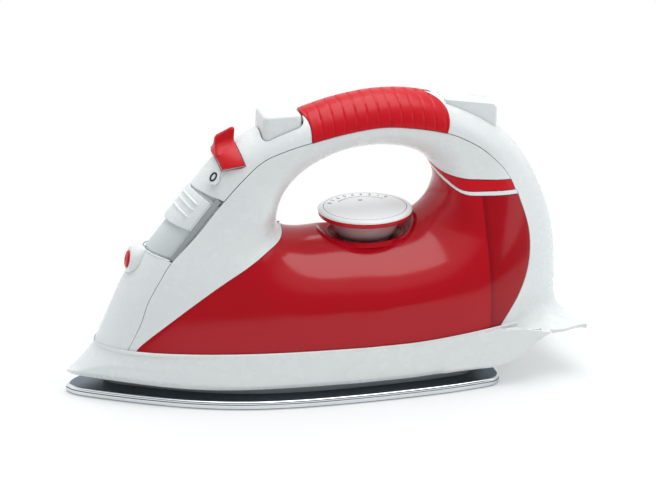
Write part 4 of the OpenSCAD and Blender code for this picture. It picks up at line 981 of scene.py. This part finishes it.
def fin_rings():
    """Rounded sections of the thumb fin, hollowed on both sides, from the foot to the tip."""
    rings = []
    for r, half, z0, z1 in FIN_LEVELS:
        mid, reach = (z0 + z1) / 2, (z1 - z0) / 2
        ring = rounded_rect(z0, z1, half, min(half, 1.1))
        out = []
        for (z, y), (nz, ny) in zip(ring, ring[1:] + ring[:1]):
            out.append((z, y))
            if abs(nz - z) > reach:
                out += [(mix(z, nz, f), mix(y, ny, f)) for f in np.linspace(0.1, 0.9, 9)]
        lean, scoop = 0.12 * ease(r, 13.5, 17), 0.32 * ease(r, 13.6, 15.6)
        narrow = [1 - scoop * max(0, 1 - ((z - mid) / reach) ** 2) for z, _ in out]
        rings.append([AT_LEVER @ Vector((-r - lean * (z - mid), y * f, z)) for (z, y), f in zip(out, narrow)])
    return rings


def build_lever():
    band = swept("lever_red", band_ring, BAND_A, AT_LEVER, n=64, skew=SKEW)
    join(band, ring_stack("fin", fin_rings()),
         prism("arm", [(-13.1, -1.3), (0, -1.3), (0, 1.3), (-13.1, 1.3)], -2, 2, AT_LEVER),
         prism("hub", circle(HUB_R), -HUB_HALF, HUB_HALF, AT_LEVER))
    carve(band, prism("cut", circle(AXLE_R), -OVER - HUB_HALF, OVER + HUB_HALF, AT_LEVER))
    soften(band, 0.15, 42)
    dress(band, RED, "lever", ["steam_lever"])

    half = BAND_HALF + MOVE_GAP - SEAT_GAP
    section = [(-half, 9.2), (-half, 11.05), (half, 12.6), (half, 10.8)]
    seat = swept("cradle_white", lambda deg: section, NOTCH_A - 0.6, AT_LEVER, skew=SKEW)
    for z in (-half, half - EAR_T):
        join(seat, prism("ear", sector(1, 10.4, NOTCH_A - 4), z, z + EAR_T, AT_LEVER),
             prism("boss", circle(HUB_R), z, z + EAR_T, AT_LEVER))
    carve(seat, prism("cut", circle(AXLE_R), -OVER - half, OVER + half, AT_LEVER),
          prism("cut", sector(HUB_R, 16, 26), -2.35, 2.35, AT_LEVER))
    soften(seat, 0.12, 30)
    dress(seat, WHITE, replaces=["lever_cradle"])


SLIDE_R, SLIDE_IN, SLIDE_A, LIP_A = 12.7, 11.5, 62, 66
SLIDE_TOP, SLIDE_TRAVEL = -4.0, 13.5
FLOOR_R, FLOOR_IN, FILL_R, FILL_Z = 11.25, 9.45, 3.5, -7.5
RAIL_A, RAIL_END_A, RAIL_R = 66.6, 76, 12.25
RIDGES = (-7.0, -9.6, -12.9)
CHANNEL_END, CHANNEL_RISE = -33.4, 3.65


def channel_end(deg):
    """Place of the nose cover's upper edge along the slide's way, which climbs towards the sides."""
    return CHANNEL_END + CHANNEL_RISE * SLIDE_R * (1 - math.cos(math.radians(deg))) / 8.8


def slide_ring(deg):
    """Section of the filler slide: three thin ridges that fade out before its sides."""
    low = channel_end(deg) + SLIDE_TRAVEL + 0.6
    top = SLIDE_TOP + 0.4 * abs(deg) / SLIDE_A
    side = SLIDE_R - 0.5 * ease(abs(deg), SLIDE_A - 4, SLIDE_A)
    rise = 0.6 * (1 - ease(abs(deg), 44, 50))
    ring = [(low, SLIDE_IN), (low, side - 0.35), (low + 0.12, side - 0.1), (low + 0.4, side)]
    for z in RIDGES[::-1]:
        ring += [(z - 0.55, side), (z - 0.3, side + 0.35 * rise), (z, side + rise),
                 (z + 0.3, side + 0.8 * rise), (z + 0.5, side)]
    return ring + [(top - 0.4, side), (top - 0.12, side - 0.1), (top, side - 0.35), (top, SLIDE_IN)]


def floor_ring(deg):
    """Section of the grey channel, which ends where the nose cover begins."""
    end = channel_end(min(abs(deg), 72))
    return [(-33, FLOOR_IN), (-33, 10.45), (end + 0.9, 10.45), (end + 1.2, FLOOR_R), (-2.9, FLOOR_R),
            (-2.2, 10.5), (0, 10.5), (0, FLOOR_IN)]


def lip_ring(deg):
    """Section of the thin bead along the nose cover's upper edge."""
    return [(channel_end(deg) + 0.1 + z, SLIDE_R - 0.3 + r) for z, r in circle(0.3, 12)]


def build_slide():
    slide = swept("slide_white", slide_ring, SLIDE_A, AT_SLIDE, n=80)
    low = channel_end(SLIDE_A) + SLIDE_TRAVEL + 0.65
    section = [(low, SLIDE_IN), (low, SLIDE_IN + 0.35), (SLIDE_TOP, SLIDE_IN + 0.35), (SLIDE_TOP, SLIDE_IN)]
    join(slide, swept("lip", lambda deg: section, LIP_A, AT_SLIDE))
    soften(slide, 0, 40)
    dress(slide, WHITE, "slide", ["filler_slide"])

    floor = swept("channel", floor_ring, 86, AT_SLIDE, n=80)
    hole = AT_SLIDE @ Matrix.Translation((0, 0, FILL_Z)) @ turned(-90, "Y")
    carve(floor, prism("cut", circle(FILL_R), FLOOR_IN - 2, SLIDE_R, hole))
    soften(floor, 0.1, 35)
    dress(floor, CHANNEL, "housing", ["slide_track"])
    end = channel_end(70) + 0.6
    bar = [(end, 10.9), (end, RAIL_R), (-0.6, RAIL_R), (-0.6, 10.9)]
    for s, name in ((-1, "rail_front"), (1, "rail_back")):
        ends = sorted((s * RAIL_A, s * RAIL_END_A))
        rail = swept(name, lambda deg: bar, ends[1], AT_SLIDE, ends[0], 8)
        soften(rail, 0.15, 40)
        dress(rail, RAIL, "housing")
    lip = swept("channel_lip", lip_ring, 69, AT_SLIDE, n=60)
    soften(lip, 0, 80)
    dress(lip, WHITE)


def build_nozzle():
    body = nozzle_body()
    body.name = "nozzle_white"
    carve(body, prism("cut", circle(3.45), -2.6, 3, AT_NOZZLE))
    soften(body, 0.3, 40)
    dress(body, WHITE, replaces=["spray_nozzle"])
    side = ((3.2, -2.5), (3.2, 0.1), (3.1, 0.45), (2.8, 0.7), (1.3, 0.95), (0.75, 0.75), (0.6, 0.2),
            (0.55, -0.6))
    rings = [[AT_NOZZLE @ Vector((x, y, z)) for x, y in circle(r)] for r, z in side]
    tip = ring_stack("nozzle_red", rings)
    soften(tip, 0, 35)
    dress(tip, RED, "housing", ["nozzle_tip"])


def dial_mark(bm, text, size, radius, deg, turn):
    """Adds a printed sign or number, a thin solid, to the print on the dial."""
    data = bpy.data.curves.new("print", "FONT")
    data.body, data.size, data.extrude = text, size, 0.05
    data.align_x, data.align_y = "CENTER", "CENTER"
    source = linked("print", data)
    bpy.context.view_layer.update()
    mesh = bpy.data.meshes.new_from_object(source.evaluated_get(bpy.context.evaluated_depsgraph_get()))
    bpy.data.objects.remove(source)
    a = math.radians(deg)
    spot = Matrix.Translation((DIAL_X + radius * math.cos(a), radius * math.sin(a), PRINT_Z))
    mesh.transform(Matrix.Diagonal((MM, MM, MM, 1)) @ spot @ Matrix.Rotation(a + turn, 4, "Z"))
    bm.from_mesh(mesh)
    bpy.data.meshes.remove(mesh)


def build_dial():
    centre = (DIAL_X, 0, 0)
    low, core = DIAL_Z - FACE_T, STEM_R + PART_GAP
    face = [(0, STEM_Z), (STEM_R, STEM_Z), (STEM_R, low), (DIAL_R - 0.35, low), (DIAL_R - 0.05, low + 0.2),
            (DIAL_R, low + 0.5)]
    face += arc(DIAL_R - 1.3, DIAL_Z - 0.95, 1.3, 0.95, bend(9))
    top = lathe("dial_top", face + [(0, DIAL_Z)], centre, 128)
    soften(top, 0, 35)
    # The dial's top gets the lighter white, painted light against the handle's shadow.
    dress(top, DIAL_LIT_WHITE, "dial", ["dial_face"])

    z0, z1 = low - PART_GAP - RING_T, low - PART_GAP
    side = [(core, z0), (DIAL_R - 1.4, z0), (DIAL_R - 0.7, z0 + 0.15), (DIAL_R - 0.3, z0 + 0.6),
            (DIAL_R - 0.25, z1), (core, z1)]
    ring = lathe("dial_band", side, centre, 128)
    soften(ring, 0.1, 35)
    dress(ring, RED, "dial", ["dial_ring"])

    foot, wall = DIAL_SEAT + SEAT_GAP, 1.2
    x, z = CUP_FOOT + 0.1, foot + wall
    outer = [(CUP_FOOT, foot), (x, z)]
    outer += arc(x, CUP_Z, CUP_R - x, z - CUP_Z, np.linspace(math.pi / 2 - 0.15, 0, 10))
    inner = [(r - wall, max(h, z)) for r, h in outer[:0:-1]]
    cup = lathe("dial_glass", [(core, foot)] + outer + inner + [(core, z)], centre, 128)
    soften(cup, 0, 35)
    dress(cup, CUP, "dial", ["dial_cup"])

    r0, r1, low = LINE_R - 0.1, LINE_R + 0.1, PRINT_Z - 0.06
    line = lathe("dial_line", [(r0, low), (r1, low), (r1, PRINT_Z), (r0, PRINT_Z)], centre, 128)
    dress(line, PALE_INK, "dial")
    bm = bmesh.new()
    upright = -math.pi / 2
    for k in range(9):
        dial_mark(bm, str(k), 2.5, NUMBER_R, 40 + 14 * k, upright)
    for k in range(25):
        dial_mark(bm, "-", 2.6 + 0.8 * (k % 4 == 0), DASH_R, 42 + 4 * k, 0)
    dial_mark(bm, "o", 3.4, SIGN_R, 90, upright)
    dress(piece_from(bm, "dial_print"), PALE_INK, "dial")


def build_marks():
    """The 0 on the pad beside the lever."""
    oval = [(1.35 * x, 1.95 * y) for x, y in circle(1)]
    hole = [(0.66 * x, 1.2 * y) for x, y in circle(1)]
    slant = AT_PAD @ turned(-26, "Z")
    zero = prism("pad_zero", oval, 0.35, 0.62, slant)
    carve(zero, prism("cut", hole, 0, 1, slant))
    soften(zero, 0.04, 40, 1)
    dress(zero, INK, "housing")


def build_small():
    """CAD shapes with rounded edges, CAD nodes that stay as they are, and the button's spring."""
    for node, name, mat, slot, width in (
            ("cord_outlet", "outlet_block", WHITE, "white_plastic", 0.45),
            ("heel_plate", "heel_white", WHITE, "white_plastic", 0.2),
            ("base_plate", "base_inner", GREY, "grey_plastic", 0.3)):
        dress(from_cad(node, name, width), mat, BODY[node], [node])
    for mat, names in (
            (INNER, ("tank_floor", "tank_wall_rear", "tank_wall_front")),
            (STEEL, ("lever_axle", "click_spring", "base_screws")),
            (GREY, ("pump_plunger", "pump_cylinder", "suction_tube", "spray_tube")),
            (GREY, ("dial_ratchet", "dial_collar")),
            (CHANNEL, ("filler_tube",)),
            (WHITE, ("scale_pad",))):
        for node in names:
            nodes[node].data.materials.clear()
            nodes[node].data.materials.append(mat)
    spring = from_cad("return_spring", "spring_coil", 0, 60)
    dress(spring, STEEL, BODY["return_spring"], ["return_spring"])
    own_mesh(spring)


for build in (build_tank, build_casing, build_covers, build_grip, build_button, build_rear, build_bands,
              build_sole, build_skirt, build_bead, build_lever, build_slide, build_nozzle, build_dial,
              build_marks, build_small):
    build()


# Stage, light and camera
ROOM_DARK, SOFT, FRONT_SOFT = 0.2, 0.36, 0.34
AZIMUTH, ELEVATION, DISTANCE, TARGET = -14, 20, 0.9, Vector((0.0035, 0, 0.049))
SENSOR, FOCAL_PIXELS, PHOTO_PIXELS = 36.0, 2344, 656


def stage_floor():
    """White floor that fades to plain white away from the object."""
    bm = bmesh.new()
    bmesh.ops.create_grid(bm, x_segments=1, y_segments=1, size=6.0)
    floor = piece_from(bm, "floor")
    floor.location.z = -0.0001
    mat, tree, shader = node_tree("floor_white")
    fill(tree, shader, {"Base Color": (0.885, 0.90, 0.895, 1), "Roughness": 0.75, "Specular IOR Level": 0.15})
    white = add(tree, "Emission", {"Strength": 1.0}).outputs[0]
    spot = add(tree, "TexCoord", {}).outputs["Object"]
    far = add(tree, "VectorMath", {0: spot}, operation="LENGTH").outputs["Value"]
    seen = add(tree, "LightPath", {}).outputs["Is Camera Ray"]
    gate = math_of(tree, "MULTIPLY", seen, ramp(tree, far, 0.12, 0.34, 0.35, 1.0))
    blend = add(tree, "MixShader", {0: gate, 1: shader.outputs[0], 2: white}).outputs[0]
    fill(tree, tree.nodes["Material Output"], {"Surface": blend})
    floor.data.materials.append(mat)


def world():
    """White background; the light is brightest above and behind, and dim on the camera's side."""
    w = bpy.data.worlds.new("studio")
    bpy.context.scene.world = w
    w.use_nodes = True
    tree = w.node_tree
    tree.nodes.clear()
    axis = split(tree, "Generated")
    front = ramp(tree, axis["Y"], -0.75, 0.15, ROOM_DARK, 1.0, interpolation_type="SMOOTHSTEP")
    up = ramp(tree, axis["Z"], 0.55, 0.85, 0, 1, interpolation_type="SMOOTHSTEP")
    side = ramp(tree, axis["X"], -1, 1, 1.1, 0.9)
    both = math_of(tree, "MULTIPLY", math_of(tree, "MAXIMUM", front, up), side)
    less = math_of(tree, "MULTIPLY_ADD", both, SOFT, FRONT_SOFT)
    seen, room, soft = [add(tree, "Background", {"Color": colour, "Strength": strength}).outputs[0]
                        for colour, strength in (((1, 1, 1, 1), 1), ((0.96, 0.98, 1.0, 1), both),
                                                 ((0.93, 0.97, 1.0, 1), less))]
    path = add(tree, "LightPath", {}).outputs
    through = math_of(tree, "MAXIMUM", path["Is Camera Ray"], path["Is Transmission Ray"])
    inner = add(tree, "MixShader", {0: path["Is Glossy Ray"], 1: soft, 2: room}).outputs[0]
    blend = add(tree, "MixShader", {0: through, 1: inner, 2: seen}).outputs[0]
    add(tree, "OutputWorld", {"Surface": blend})


def lamp(name, where, target, size, power, colour=(1, 1, 1)):
    data = bpy.data.lights.new(name, "AREA")
    data.shape = "RECTANGLE"
    data.size, data.size_y = size
    data.energy, data.color = power, colour
    obj = linked(name, data)
    obj.location = where
    obj.rotation_euler = (Vector(target) - Vector(where)).to_track_quat("-Z", "Y").to_euler()


def camera():
    data = bpy.data.cameras.new("camera")
    data.sensor_width, data.sensor_fit = SENSOR, "HORIZONTAL"
    data.lens = SENSOR * FOCAL_PIXELS / PHOTO_PIXELS
    obj = linked("camera", data)
    a, e = math.radians(AZIMUTH), math.radians(ELEVATION)
    back = Vector((math.sin(a) * math.cos(e), -math.cos(a) * math.cos(e), math.sin(e)))
    obj.location = TARGET + back * DISTANCE
    obj.rotation_euler = (-back).to_track_quat("-Z", "Y").to_euler()
    data.clip_start, data.clip_end = 0.01, 20
    bpy.context.scene.camera = obj


stage_floor()
world()
lamp("key", (0.10, 0.05, 0.95), (0, 0, 0.04), (0.9, 0.7), 6.5)
lamp("side", (0.95, -0.55, 0.55), (0, 0, 0.05), (0.6, 0.6), 1.3, (0.97, 0.99, 1.0))
camera()
bpy.context.scene.view_settings.view_transform = "Standard"
